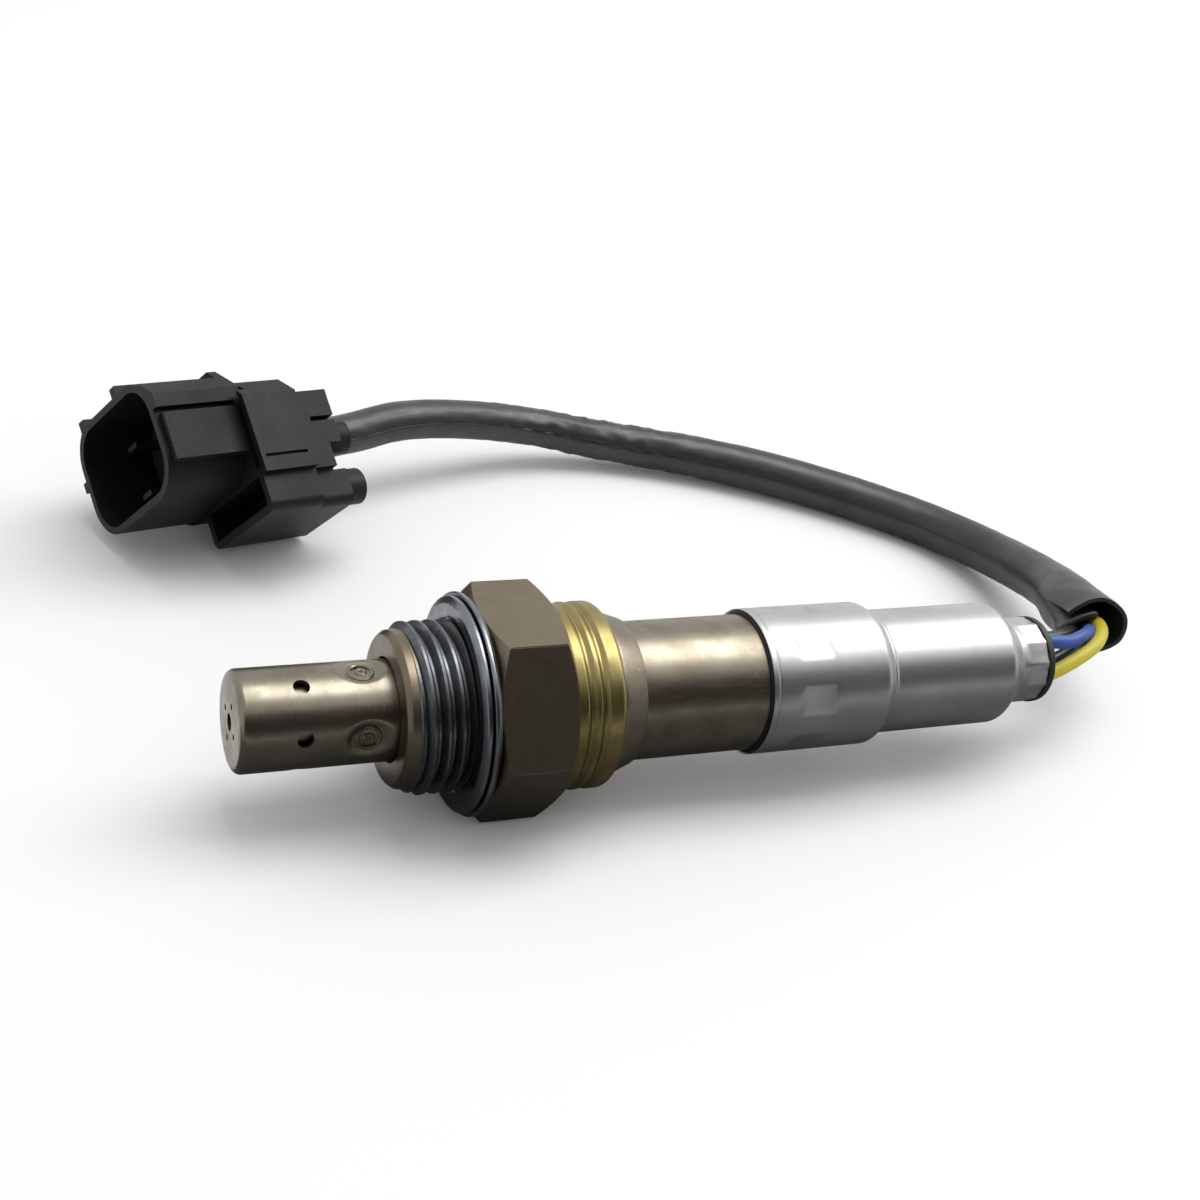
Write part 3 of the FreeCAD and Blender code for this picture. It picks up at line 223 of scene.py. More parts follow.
def ramp(value: float, start: float, run: float) -> float:
    """Rises from 0 at a start to 1 after a run, and stays there."""
    return min(1.0, max(0.0, (value - start) / run))


def bell(distance: float, width: float) -> float:
    """Is 1 at no distance and fades to nothing in about two widths."""
    return math.exp(-(distance / width) ** 2)


def straight(radius: float, start: float, step: float, count: int) -> list[tuple[float, float]]:
    """Evenly spaced points of an outline that runs along the axis."""
    return [(start + step * number, radius) for number in range(count)]


def filleted(outline: Outline, segments: int = 6, closed: bool = True) -> list[tuple[float, float]]:
    """Rounds the corners of an outline.

    Args:
        outline: Corners as (station, radius) or (station, radius, rounding), in mm.
        segments: Steps of each rounding.
        closed: Whether the last corner is joined to the first.

    Returns:
        The outline's points as (station, radius).
    """
    corners = [Vector(corner[:2]) for corner in outline]
    points: list[tuple[float, float]] = []
    for number, corner in enumerate(outline):
        here = corners[number]
        if len(corner) < 3 or (not closed and number in (0, len(corners) - 1)):
            points.append(tuple(here))
            continue
        before = (corners[number - 1] - here).normalized()
        after = (corners[(number + 1) % len(corners)] - here).normalized()
        half = before.angle(after) / 2
        centre = here + (before + after).normalized() * (corner[2] / math.sin(half))
        start = here + before * (corner[2] / math.tan(half)) - centre
        turn = start.angle_signed(here + after * (corner[2] / math.tan(half)) - centre)
        for step in range(segments + 1):
            spoke = start.copy()
            spoke.rotate(Matrix.Rotation(-turn * step / segments, 2))
            points.append(tuple(centre + spoke))
    return points


def traced(name: str, outline: Outline) -> bpy.types.Object:
    """Draws an outline as a line of edges above the sensor's axis.

    Args:
        name: The new object's name.
        outline: Points as (station, radius), in mm.

    Returns:
        The line, in edit mode.
    """
    fresh()
    bpy.ops.mesh.primitive_plane_add(size=MM)
    line = added(name)
    edit(line)
    bpy.ops.mesh.merge(type="CENTER")
    bpy.ops.transform.translate(value=(outline[0][0] * MM, 0.0, outline[0][1] * MM))
    for (station, radius), (following, reach) in zip(outline, outline[1:]):
        step = ((following - station) * MM, 0.0, (reach - radius) * MM)
        bpy.ops.mesh.extrude_region_move(TRANSFORM_OT_translate={"value": step})
    return line


def turned(name: str, outline: Outline, steps: int = 96, closed: bool = True) -> bpy.types.Object:
    """Turns an outline round the sensor's axis, as on a lathe.

    Args:
        name: The new object's name.
        outline: Points as (station, radius), in mm.
        steps: Facets round the turn.
        closed: Whether the outline is a loop, as for a tube's wall.

    Returns:
        The turned piece, with its faces outwards.
    """
    piece = traced(name, outline)
    if closed:
        ends = [Vector((x * MM, 0.0, r * MM)) for x, r in (outline[0], outline[-1])]
        pick(piece, "verts", lambda corner: any((corner.co - end).length < WELD for end in ends))
        bpy.ops.mesh.edge_face_add()
    bpy.ops.mesh.select_all(action="SELECT")
    bpy.ops.mesh.spin(steps=steps, angle=math.tau, center=(0, 0, 0), axis=(1, 0, 0))
    return sealed(piece)


def around(angle: float, radius: float, station: float = 0.0) -> Vector:
    """A point in metres at a station and radius in mm, with its angle from +Z towards -Y (the near side)."""
    turn = math.radians(angle)
    return Vector((station, -radius * math.sin(turn), radius * math.cos(turn))) * MM


def pin(name: str, start: Vector, end: Vector, radius: float, sides: int = 32) -> bpy.types.Object:
    """A plain round cutting tool between two points in metres.

    Args:
        name: The tool's name.
        start: Centre of one end.
        end: Centre of the other end.
        radius: Its radius in mm.
        sides: Facets round it.

    Returns:
        The tool.
    """
    fresh()
    line = end - start
    bpy.ops.mesh.primitive_cylinder_add(
        vertices=sides, radius=radius * MM, depth=line.length, location=(start + end) / 2,
        rotation=line.to_track_quat("Z", "Y").to_euler())
    return added(name)


# Finishes


def linear(colour: str) -> tuple[float, float, float, float]:
    """An sRGB hex colour as linear red, green, blue and alpha."""
    parts = [int(colour.lstrip("#")[at:at + 2], 16) / 255 for at in (0, 2, 4)]
    return (*(part / 12.92 if part <= 0.04045 else ((part + 0.055) / 1.055) ** 2.4 for part in parts), 1.0)


def add_node(tree: bpy.types.NodeTree, kind: str, links: Optional[dict] = None,
             **settings: object) -> bpy.types.Node:
    """Adds a shader node.

    Args:
        tree: The material's node tree.
        kind: The node's type.
        links: Sockets by name or number, each with a value or with the output socket that feeds it.
        settings: The node's own properties.

    Returns:
        The node.
    """
    node = tree.nodes.new(kind)
    for key, value in settings.items():
        setattr(node, key, value)
    for socket, value in (links or {}).items():
        if isinstance(value, bpy.types.NodeSocket):
            tree.links.new(value, node.inputs[socket])
        else:
            node.inputs[socket].default_value = value
    return node


class Grain(Enum):
    """How a surface was made: the spacing of its marks in mm along x, y and z."""

    TURNED = (0.09, 2.4, 2.4)
    DRAWN = (2.6, 0.16, 0.16)
    MILLED = (0.12, 1.6, 0.5)
    MOULDED = (0.22, 0.22, 0.22)
    FIRED = (0.5, 0.5, 0.5)
    BLASTED = (0.3, 0.3, 0.3)


@dataclass(frozen=True)
class Finish:
    """One real material with the marks of its making.

    Args:
        name: Its common name and how it was made.
        colour: Main sRGB colour.
        second: Colour of its cloudy patches.
        metallic: 1 for a metal.
        roughness: Lowest and highest roughness, over its patches and marks.
        grain: Direction and spacing of its marks, in mm.
        depth: Height of the marks, in mm.
        patch: Size of the cloudy patches, in mm.
        fleck: Colour of small specks of wear or dust, which on the tip, brass ring and tube are also painted
            glints.
        flecks: Share of the surface that the specks cover.
        ior: Refractive index of a non-metal.
        by_length: Whether the marks follow the piece's own UV map, as on the lead.
    """

    name: str
    colour: str
    second: str
    metallic: float = 0.0
    roughness: tuple[float, float] = (0.4, 0.5)
    grain: Grain = Grain.MOULDED
    depth: float = 0.01
    patch: float = 6.0
    fleck: str = "#808080"
    flecks: float = 0.0
    ior: float = 1.5
    by_length: bool = False

    @staticmethod
    def blend(tree: bpy.types.NodeTree, share: bpy.types.NodeSocket, under: object,
              over: str) -> bpy.types.NodeSocket:
        """Mixes an sRGB colour over a colour or a colour socket, by a share."""
        return add_node(tree, "ShaderNodeMix", {0: share, 6: under, 7: linear(over)},
                        data_type="RGBA").outputs[2]

    def material(self) -> bpy.types.Material:
        """The finish as a node material, made once."""
        known = bpy.data.materials.get(self.name)
        if known:
            return known
        made = bpy.data.materials.new(self.name)
        made.use_nodes = True
        made.diffuse_color = linear(self.colour)
        tree = made.node_tree
        surface = tree.nodes["Principled BSDF"]
        place = add_node(tree, "ShaderNodeTexCoord").outputs["UV" if self.by_length else "Object"]
        cloud = add_node(tree, "ShaderNodeTexNoise", {
            "Vector": place, "Scale": 1 / (self.patch * MM), "Detail": 3.0, "Roughness": 0.6}).outputs["Fac"]
        spacing = tuple(1 / (size * MM) for size in self.grain.value)
        along = add_node(tree, "ShaderNodeMapping", {"Vector": place, "Scale": spacing}).outputs[0]
        marks = add_node(tree, "ShaderNodeTexNoise", {
            "Vector": along, "Scale": 1.0, "Detail": 4.0}).outputs["Fac"]
        spread = add_node(tree, "ShaderNodeMapRange", {
            "Value": cloud, "From Min": PATCH_LEVELS[0], "From Max": PATCH_LEVELS[1]})
        colour = self.blend(tree, spread.outputs[0], linear(self.colour), self.second)
        if self.flecks:
            # Specks of wear or dust; on the tip, brass ring and tube they are also painted glints.
            specks = add_node(tree, "ShaderNodeTexNoise", {
                "Vector": place, "Scale": 1 / (FLECK_SIZE * MM), "Detail": 5.0, "Roughness": 0.7})
            wear_and_glint = add_node(tree, "ShaderNodeMapRange", {
                "Value": specks.outputs["Fac"],
                "From Min": FLECK_LEVELS[0] - self.flecks, "From Max": FLECK_LEVELS[1] - self.flecks})
            colour = self.blend(tree, wear_and_glint.outputs[0], colour, self.fleck)
        mixed = add_node(tree, "ShaderNodeMath", {0: cloud, 1: marks}, operation="ADD")
        rough = add_node(tree, "ShaderNodeMapRange", {
            "Value": mixed.outputs[0], "From Min": ROUGH_LEVELS[0], "From Max": ROUGH_LEVELS[1],
            "To Min": self.roughness[0], "To Max": self.roughness[1]})
        relief = add_node(tree, "ShaderNodeBump", {
            "Height": marks, "Strength": 1.0, "Distance": self.depth * MM})
        tree.links.new(colour, surface.inputs["Base Color"])
        tree.links.new(rough.outputs[0], surface.inputs["Roughness"])
        tree.links.new(relief.outputs[0], surface.inputs["Normal"])
        surface.inputs["Metallic"].default_value = self.metallic
        if not self.metallic:
            surface.inputs["IOR"].default_value = self.ior
        return made


# Drawn stainless steel, heat-tinted champagne: soft broad highlights with faint marks from the press, and
# pale specks that are painted glints.
TIP_STEEL = Finish(
    "stainless steel, drawn and heat tinted", "#837d70", "#736d60", 1.0, (0.26, 0.38), Grain.TURNED, 0.0012,
    3.0, "#b5b0a2", 0.05)
# Turned carbon steel with a dull zinc coat: grey, with fine rings from the die that cut the thread.
THREAD_STEEL = Finish(
    "zinc-coated steel, cut thread", "#6b6d70", "#55575a", 1.0, (0.3, 0.46), Grain.TURNED, 0.004, 2.2,
    "#94979b", 0.05)
# Soft steel, pressed and zinc-coated: a brighter rolled rim that goes dark in its fold.
GASKET_STEEL = Finish(
    "zinc-coated steel, pressed", "#84878c", "#6a6d72", 1.0, (0.22, 0.36), Grain.TURNED, 0.002, 4.0)
# Milled steel with a nickel-bronze tint: flat, quiet faces of warm grey.
HEX_STEEL = Finish(
    "bronze-tinted steel, milled", "#776d5e", "#6a6051", 1.0, (0.34, 0.42), Grain.MILLED, 0.0006, 7.0)
# Brass-plated ring, turned: greenish yellow with soft pale streaks round it, and pale specks in its
# highlight's colour that are painted glints.
RING_BRASS = Finish(
    "brass-plated steel, turned", "#978a5e", "#85774a", 1.0, (0.28, 0.42), Grain.TURNED, 0.003, 3.0,
    "#cdc39a", 0.05)
# Stainless tube, heat tinted brown, with small bright specks all round it: scuffs, and painted glints for the
# sparkle where the light falls along its top.
TUBE_STEEL = Finish(
    "stainless tube, brown heat tint", "#867f71", "#736c5e", 1.0, (0.28, 0.4), Grain.DRAWN, 0.0015, 4.0,
    "#a59b88", 0.06)
# Deep-drawn stainless sleeve, bead blasted: pale satin that spreads the light.
SLEEVE_STEEL = Finish(
    "stainless steel, drawn and blasted", "#b6b6b6", "#a9a9aa", 1.0, (0.34, 0.4), Grain.BLASTED, 0.0006, 5.0)
# Filled fluoropolymer film: dead black, both the film's own colour and painted shade for the gap where it
# shows at the sleeve's front edge.
FILTER_FILM = Finish("filter film, skived", "#0d0d0d", "#141414", 0.0, (0.6, 0.75), Grain.MOULDED, 0.01, 2.0)
# Fired zirconia: chalky, warm white.
ZIRCONIA = Finish("zirconia, fired", "#ece7dc", "#ddd6c8", 0.0, (0.45, 0.6), Grain.FIRED, 0.01, 3.0)
# Fired alumina: colder white than zirconia.
ALUMINA = Finish("alumina, fired", "#efeeea", "#e2e0db", 0.0, (0.5, 0.62), Grain.FIRED, 0.01, 3.0)
# Pressed talc: matt grey white that crumbles at its rim.
TALC = Finish("talc, pressed", "#c9c6bd", "#b8b4aa", 0.0, (0.75, 0.9), Grain.FIRED, 0.03, 1.5)
# Soft nickel packing ring: dull, faintly warm grey.
PACKING_NICKEL = Finish(
    "nickel packing, pressed", "#a7a49c", "#8f8c84", 1.0, (0.35, 0.5), Grain.TURNED, 0.003, 2.0)
# Spring steel with nickel plating: bright and smooth.
SPRING_STEEL = Finish(
    "spring steel, nickel plated", "#c2beb4", "#adaaa0", 1.0, (0.22, 0.34), Grain.DRAWN, 0.002, 3.0)
# Fluoroelastomer, moulded: black with hardly any gloss.
GROMMET_RUBBER = Finish(
    "fluoro rubber, moulded", "#161616", "#1e1e1e", 0.0, (0.5, 0.65), Grain.MOULDED, 0.012, 3.0)
# Extruded cross-linked insulation in three colours: smooth and a little waxy.
BLUE_INSULATION = Finish(
    "insulation, extruded blue", "#2f4f9f", "#2a4892", 0.0, (0.46, 0.56), Grain.DRAWN, 0.004, 5.0)
YELLOW_INSULATION = Finish(
    "insulation, extruded yellow", "#c8ba2c", "#bcae24", 0.0, (0.46, 0.56), Grain.DRAWN, 0.004, 5.0)
BLACK_INSULATION = Finish(
    "insulation, extruded black", "#171717", "#1f1f1f", 0.0, (0.3, 0.42), Grain.DRAWN, 0.004, 5.0)
# Soft vinyl tube, slit along its length: charcoal, silky, with dusty grey where it has been handled.
SHEATH_VINYL = Finish(
    "vinyl tube, extruded and slit", "#2b2c2c", "#202121", 0.0, (0.32, 0.48), Grain.DRAWN, 0.012, 7.0,
    "#3c3d3d", 0.03, by_length=True)
# Glass-filled nylon, moulded: black with a soft sheen and a fine spark-eroded grain.
HOUSING_NYLON = Finish(
    "glass-filled nylon, moulded", "#0d0e0e", "#0a0b0b", 0.0, (0.48, 0.62), Grain.MOULDED, 0.008, 9.0,
    "#1b1c1c", 0.01, 1.33)
# Plain nylon, moulded: dark grey, a little lighter than the housing round it.
CARRIER_NYLON = Finish(
    "nylon, moulded dark grey", "#222222", "#1b1b1b", 0.0, (0.5, 0.6), Grain.MOULDED, 0.008, 5.0)
# Tinned brass blades, coloured darker than tinned brass: dull, dark straw grey, with the shade deep in the
# shroud painted into their colour.
SHADED_BLADE_BRASS = Finish(
    "brass, stamped and tinned", "#4f4b3f", "#454136", 1.0, (0.5, 0.6), Grain.DRAWN, 0.002, 3.0)
# Silicone rubber, moulded: matt dark grey.
SEAL_RUBBER = Finish(
    "silicone rubber, moulded", "#242425", "#1c1c1d", 0.0, (0.5, 0.62), Grain.MOULDED, 0.01, 3.0)

NODE_FINISHES = {
    "outer_protector": TIP_STEEL,
    "inner_protector": TIP_STEEL,
    "metal_shell": HEX_STEEL,
    "gasket_ring": GASKET_STEEL,
    "collar_ring": RING_BRASS,
    "sensing_element": ZIRCONIA,
    "heater_rod": ALUMINA,
    "seat_packing": PACKING_NICKEL,
    "talc_seal": TALC,
    "insulator_sleeve": ALUMINA,
    "crimp_packing": PACKING_NICKEL,
    "inner_tube": TUBE_STEEL,
    "vent_filter": FILTER_FILM,
    "outer_sleeve": SLEEVE_STEEL,
    "contact_bush": ALUMINA,
    "contact_springs": SPRING_STEEL,
    "cable_grommet": GROMMET_RUBBER,
    "blue_wire": BLUE_INSULATION,
    "yellow_wire": YELLOW_INSULATION,
    "black_wire_front": BLACK_INSULATION,
    "black_wire_rear": BLACK_INSULATION,
    "cable_sheath": SHEATH_VINYL,
    "connector_housing": HOUSING_NYLON,
    "blade_carrier": CARRIER_NYLON,
    "connector_blades": SHADED_BLADE_BRASS,
    "cable_seal": SEAL_RUBBER,
}


def finished(piece: bpy.types.Object, finish: Finish, *nodes: str,
             degrees: float = 35.0) -> bpy.types.Object:
    """Gives a piece its finish, hangs it on the root body and hides the CAD nodes that it stands for.

    Args:
        piece: The new piece.
        finish: Its finish.
        nodes: The CAD nodes that it replaces, which are hidden.
        degrees: Edges sharper than this stay crisp.

    Returns:
        The piece.
    """
    smooth(piece, degrees)
    piece.data.materials.clear()
    piece.data.materials.append(finish.material())
    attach(piece, "root")
    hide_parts(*nodes)
    log.info("%s: %d faces, %s", piece.name, len(piece.data.polygons), finish.name)
    return piece


# The sensor


@dataclass
class GasTip:
    """Drawn cup over the sensing element, with gas holes and four spot-welded dimples."""

    front: float = -22.8
    end_opening: float = 0.9
    radius: float = 5.28
    front_rounding: float = 0.8
    wall: float = 0.5
    fine_start: float = -13.6
    fine_step: float = 0.28
    fine_count: int = 27
    foot_profile: Outline = ((-5.95, 5.28), (-5.9, 6.2), (-5.4, 6.2))
    hole_station: float = -16.4
    hole_radius: float = 0.85
    hole_turns: tuple[float, ...] = (20.0, 80.0, 140.0, 200.0, 260.0, 320.0)
    hole_reach: tuple[float, float] = (4.0, 6.5)
    pin_circle: float = 2.1
    pin_radius: float = 0.35
    pin_turns: tuple[float, ...] = (10.0, 100.0, 190.0, 280.0)
    pin_reach: tuple[float, float] = (-1.0, 1.5)
    dimple_station: float = -9.9
    dimple_turns: tuple[float, ...] = (-2.5, 87.5, 177.5, 267.5)
    dimple_length: float = 2.65
    dimple_half: float = 2.3
    dimple_slope: float = 0.45
    dimple_depth: float = 0.5
    weld_rings: tuple[tuple[float, float], ...] = ((1.2, 0.24), (0.4, 0.28))
    weld_sink: float = 0.35

    def cup(self) -> bpy.types.Object:
        """The cup's skin, closely divided where the dimples go."""
        outline = filleted([(self.front, self.end_opening), (self.front, self.radius, self.front_rounding),
                            (self.fine_start - 0.4, self.radius)], 5, False)
        outline += straight(self.radius, self.fine_start, self.fine_step, self.fine_count)
        outline += filleted(self.foot_profile, closed=False)
        return turned("gas_tip", outline, 144, closed=False)

    def dimpled(self, station: float, angle: float) -> float:
        """How far a point of the skin is sunk by the dimples, as a share of their depth.

        Args:
            station: The point's place along the axis, in mm.
            angle: Its angle from +Z towards -Y, in degrees.

        Returns:
            1 on a dimple's floor, less on its slope and 0 outside it.
        """
        across = math.radians(off_angle(angle, self.dimple_turns[0], 90.0)) * self.radius / self.dimple_half
        reach = math.hypot(across, (station - self.dimple_station) / self.dimple_length)
        flat = ramp(1.0 - reach, 0.0, self.dimple_slope)
        return flat * flat * (3.0 - 2.0 * flat)

    def weld_marks(self) -> list[bpy.types.Object]:
        """The raised ring and dot that the welding electrode leaves in each dimple."""
        marks = []
        for turn in self.dimple_turns:
            outward = around(turn, 1.0)
            lean = outward.to_track_quat("Z", "Y").to_euler()
            floor = around(turn, self.radius - self.dimple_depth, self.dimple_station)
            for radius, tube in self.weld_rings:
                fresh()
                bpy.ops.mesh.primitive_torus_add(
                    major_segments=40, minor_segments=10, major_radius=radius * MM, minor_radius=tube * MM,
                    location=floor - outward * tube * self.weld_sink, rotation=lean)
                marks.append(added("weld_mark"))
        return marks

    def build(self) -> None:
        """Makes the tip with its wall, dimples and holes."""
        cup = self.cup()
        dent(cup, self.dimple_depth, self.dimpled)
        modify(cup, "SOLIDIFY", thickness=self.wall * MM, offset=-1.0)
        for turn in self.hole_turns:
            inside, outside = (around(turn, reach, self.hole_station) for reach in self.hole_reach)
            carve(cup, pin("gas_hole", inside, outside, self.hole_radius))
        for turn in self.pin_turns:
            before, behind = (around(turn, self.pin_circle, self.front + reach) for reach in self.pin_reach)
            carve(cup, pin("pin_hole", before, behind, self.pin_radius, 16))
        finished(joined("gas_tip", [cup, *self.weld_marks()]), TIP_STEEL, "outer_protector")


@dataclass
class ThreadedBody:
    """Nose, M18x1.5 thread, spanner hexagon and the lip crimped round the tube."""

    nose_profile: Outline = (
        (-6.9, 5.43, 0.2), (-6.9, 7.75, 0.35), (-6.35, 8.2, 0.3), (-5.3, 8.26), (-5.3, 7.0), (-5.0, 5.0),
        (-5.9, 5.43))
    pitch: float = 1.5
    crest: float = 9.0
    crest_half: float = 0.14
    root: float = 8.1
    root_half: float = 0.12
    ridge_foot: float = 0.25
    first_crest: float = -4.6
    thread_turns: int = 6
    turn_steps: int = 90
    core_profile: Outline = ((-5.9, 6.9), (-5.9, 8.0), (-5.6, root), (0.3, root), (1.9, root), (1.9, 6.9))
    lead_in_profile: Outline = (
        (-5.6, 5.5), (-5.6, 8.22), (-4.9, crest), (-0.1, crest), (0.9, 8.12), (1.9, 8.12), (1.9, 5.5))
    flats: float = 22.0
    hex_front: float = 1.8
    hex_rear: float = 10.4
    chamfer_circle: float = 10.7
    chamfer_lean: float = 30.0
    chamfer_bore: float = 8.0
    hex_edge: float = 0.12
    lip_profile: Outline = (
        (9.5, 8.4), (9.5, 9.1), (16.1, 9.1, 0.3), (16.6, 8.95, 0.5), (19.25, 7.98, 0.25), (19.25, 7.6),
        (15.6, 7.6), (15.6, 8.4))

    def nose(self) -> bpy.types.Object:
        """The plain front collar round the gas tip."""
        return finished(turned("shell_nose", filleted(self.nose_profile), 128), HEX_STEEL, "metal_shell")

    def ridge(self) -> bpy.types.Object:
        """The thread's ridge as a solid wound round the axis."""
        half = self.pitch / 2
        side = [(-half + self.root_half / 2, self.root - self.ridge_foot),
                (-half + self.root_half, self.root), (-self.crest_half, self.crest)]
        profile = side + [(-station, radius) for station, radius in reversed(side)]
        start = self.first_crest - 2 * self.pitch
        ridge = traced("thread_ridge", [(start + station, radius) for station, radius in profile])
        bpy.ops.mesh.select_all(action="SELECT")
        bpy.ops.mesh.edge_face_add()
        bpy.ops.object.mode_set(mode="OBJECT")
        modify(ridge, "SCREW", axis="X", screw_offset=self.pitch * MM, iterations=self.thread_turns,
               angle=math.tau, steps=self.turn_steps, render_steps=self.turn_steps, use_merge_vertices=False)
        edit(ridge)
        bpy.ops.mesh.remove_doubles(threshold=WELD)
        pick(ridge, "edges", lambda line: line.is_boundary)
        bpy.ops.mesh.edge_face_add()
        return sealed(ridge)

    def thread(self) -> bpy.types.Object:
        """The core with the ridge screwed round it, trimmed to its lead-in."""
        ridge = self.ridge()
        core = turned("shell_thread", self.core_profile, self.turn_steps)
        carve(core, ridge, "UNION")
        carve(core, turned("thread_envelope", self.lead_in_profile, 2 * self.turn_steps), "INTERSECT")
        return finished(core, THREAD_STEEL, "metal_shell", degrees=28.0)

    def hexagon(self) -> bpy.types.Object:
        """The spanner hexagon with its corners chamfered front and rear."""
        fresh()
        front, rear = self.hex_front, self.hex_rear
        corner = self.flats / math.sqrt(3)
        bpy.ops.mesh.primitive_cylinder_add(
            vertices=6, radius=corner * MM, depth=(rear - front) * MM,
            location=((front + rear) / 2 * MM, 0, 0), rotation=(0, math.pi / 2, 0))
        body = added("shell_hexagon")
        clear = corner + 0.1
        rise = (clear - self.chamfer_circle) * math.tan(math.radians(self.chamfer_lean))
        carve(body, turned("chamfer", [
            (front, self.chamfer_bore), (front, self.chamfer_circle), (front + rise, clear),
            (rear - rise, clear), (rear, self.chamfer_circle), (rear, self.chamfer_bore)], 144), "INTERSECT")
        modify(body, "BEVEL", width=self.hex_edge * MM, segments=2, limit_method="ANGLE",
               angle_limit=math.radians(25))
        return keep_flats(finished(body, HEX_STEEL, "metal_shell", degrees=24.0))

    def lip(self) -> bpy.types.Object:
        """The neck under the ring, and the rear lip rolled down on the tube."""
        return finished(turned("shell_lip", filleted(self.lip_profile), 128), TUBE_STEEL, "metal_shell")

    def build(self) -> None:
        """Makes all the body's pieces."""
        self.nose()
        self.thread()
        self.hexagon()
        self.lip()


@dataclass
class Gasket:
    """Folded steel ring in front of the hexagon."""

    front_radius: float = 11.4
    rear_radius: float = 11.8
    bore: float = 9.06
    root: float = 8.2
    rear: float = 1.8
    profile: Outline = (
        (0.1, bore, 0.1), (0.0, 9.6, 0.15), (0.0, 10.6, 0.4), (0.35, front_radius, 0.32),
        (0.86, front_radius - 0.05, 0.2), (0.8, 10.3, 0.05), (1.0, 10.3, 0.05),
        (0.98, rear_radius - 0.1, 0.15), (1.3, rear_radius, 0.3), (rear, rear_radius - 0.4, 0.2),
        (rear, root), (0.4, root), (0.4, bore))

    def build(self) -> None:
        """Makes the ring with its open fold."""
        finished(turned("gasket", filleted(self.profile, 5), 144), GASKET_STEEL, "gasket_ring")


@dataclass
class BrassRing:
    """Ridged brass-coloured ring on the body's neck, with two valleys and a long rear land."""

    front: float = 10.4
    rear: float = 16.1
    high: float = 10.05
    low: float = 9.6
    bore: float = 9.15
    profile: Outline = (
        (front, bore), (front, high - 0.1, 0.1), (11.6, high, 0.5), (12.15, low, 0.25), (12.75, high, 0.35),
        (13.1, high, 0.3), (13.65, low, 0.25), (14.2, high, 0.4), (rear, high, 0.75), (rear, bore))

    def build(self) -> None:
        """Makes the ring."""
        finished(turned("brass_ring", filleted(self.profile, 6), 144), RING_BRASS, "collar_ring")


@dataclass
class Sleeve:
    """Stepped silver sleeve with eight pressed pads and a neck crimped to twelve flats."""

    wide: float = 8.15
    narrow: float = 7.1
    neck: float = 5.1
    end: float = 72.8
    wall: float = 0.33
    pad_front: float = 37.7
    pad_rear: float = 42.2
    pad_first: float = 28.0
    pad_step: float = 45.0
    pad_depth: float = 0.2
    edge_run: float = 0.45
    flute_front: float = 69.7
    flute_first: float = 17.0
    flute_step: float = 30.0
    flute_depth: float = 0.16
    mouth_profile: Outline = (
        (34.2, wide - 0.06), (34.3, wide, 0.05), (34.75, wide, 0.1), (34.95, wide - 0.09, 0.06),
        (35.15, wide, 0.1), (pad_front - 1.0, wide))
    step_profile: Outline = (
        (pad_rear + 1.0, wide), (48.9, wide, 1.4), (50.05, narrow + 0.16, 0.2), (50.3, narrow + 0.14, 0.12),
        (50.6, narrow, 0.3), (66.6, narrow, 1.5), (68.9, neck + 0.15, 0.6), (flute_front, neck))

    def skin(self) -> bpy.types.Object:
        """The sleeve's outside, closely divided where it is pressed."""
        run = self.edge_run
        outline = filleted(self.mouth_profile, 5, False)
        outline += straight(self.wide, self.pad_front, run / 3, 4)
        outline += straight(self.wide, self.pad_rear - run, run / 3, 4)
        outline += filleted(self.step_profile, 6, False)
        outline += straight(self.neck, self.flute_front + run / 2, run / 2, 3)
        outline += [(self.end - 0.12, self.neck), (self.end, self.neck - 0.05)]
        return turned("sleeve", outline, 192, closed=False)

    def padded(self, station: float, angle: float) -> float:
        """How far a point of the skin is sunk by the pads, as a share of their depth."""
        ends = min(station - self.pad_front, self.pad_rear - station) / self.edge_run
        flat = chord(self.wide, self.pad_depth, off_angle(angle, self.pad_first, self.pad_step))
        return flat * min(1.0, ends)

    def fluted(self, station: float, angle: float) -> float:
        """How far a point of the neck is sunk by its crimped flats, as a share of their depth."""
        start = (station - self.flute_front) / self.edge_run
        flat = chord(self.neck, self.flute_depth, off_angle(angle, self.flute_first, self.flute_step))
        return flat * min(1.0, start)

    def build(self) -> None:
        """Makes the sleeve."""
        sleeve = self.skin()
        dent(sleeve, self.pad_depth, self.padded)
        dent(sleeve, self.flute_depth, self.fluted)
        modify(sleeve, "SOLIDIFY", thickness=self.wall * MM, offset=-1.0)
        finished(sleeve, SLEEVE_STEEL, "outer_sleeve", degrees=24.0)


def wire_place(number: int) -> tuple[float, float]:
    """Where one of the four wires crosses the grommet, as (side, up) in mm."""
    angle = math.radians(WIRE_FIRST_TURN + 360.0 / WIRE_COUNT * number)
    return math.cos(angle) * WIRE_CIRCLE, math.sin(angle) * WIRE_CIRCLE


@dataclass
class Grommet:
    """Rubber plug in the sleeve's neck, with a rim behind the neck's end and the four wires through it."""

    seat: float = 4.55
    rim: float = 5.15
    end: float = 73.78
    hole: float = 0.88
    hole_reach: tuple[float, float] = (69.0, 74.5)
    profile: Outline = (
        (70.6, 0.0), (70.6, seat), (72.84, seat), (72.84, rim, 0.1), (end - 0.1, rim - 0.05, 0.3),
        (end, 4.5, 0.2), (end, 0.0))

    def build(self) -> None:
        """Makes the plug and bores it for the wires."""
        plug = turned("grommet", filleted(self.profile, 4, False), 96, closed=False)
        for number in range(WIRE_COUNT):
            front, rear = (Vector((station, *wire_place(number))) * MM for station in self.hole_reach)
            carve(plug, pin("wire_hole", front, rear, self.hole, 24))
        finished(plug, GROMMET_RUBBER, "cable_grommet")


# The lead


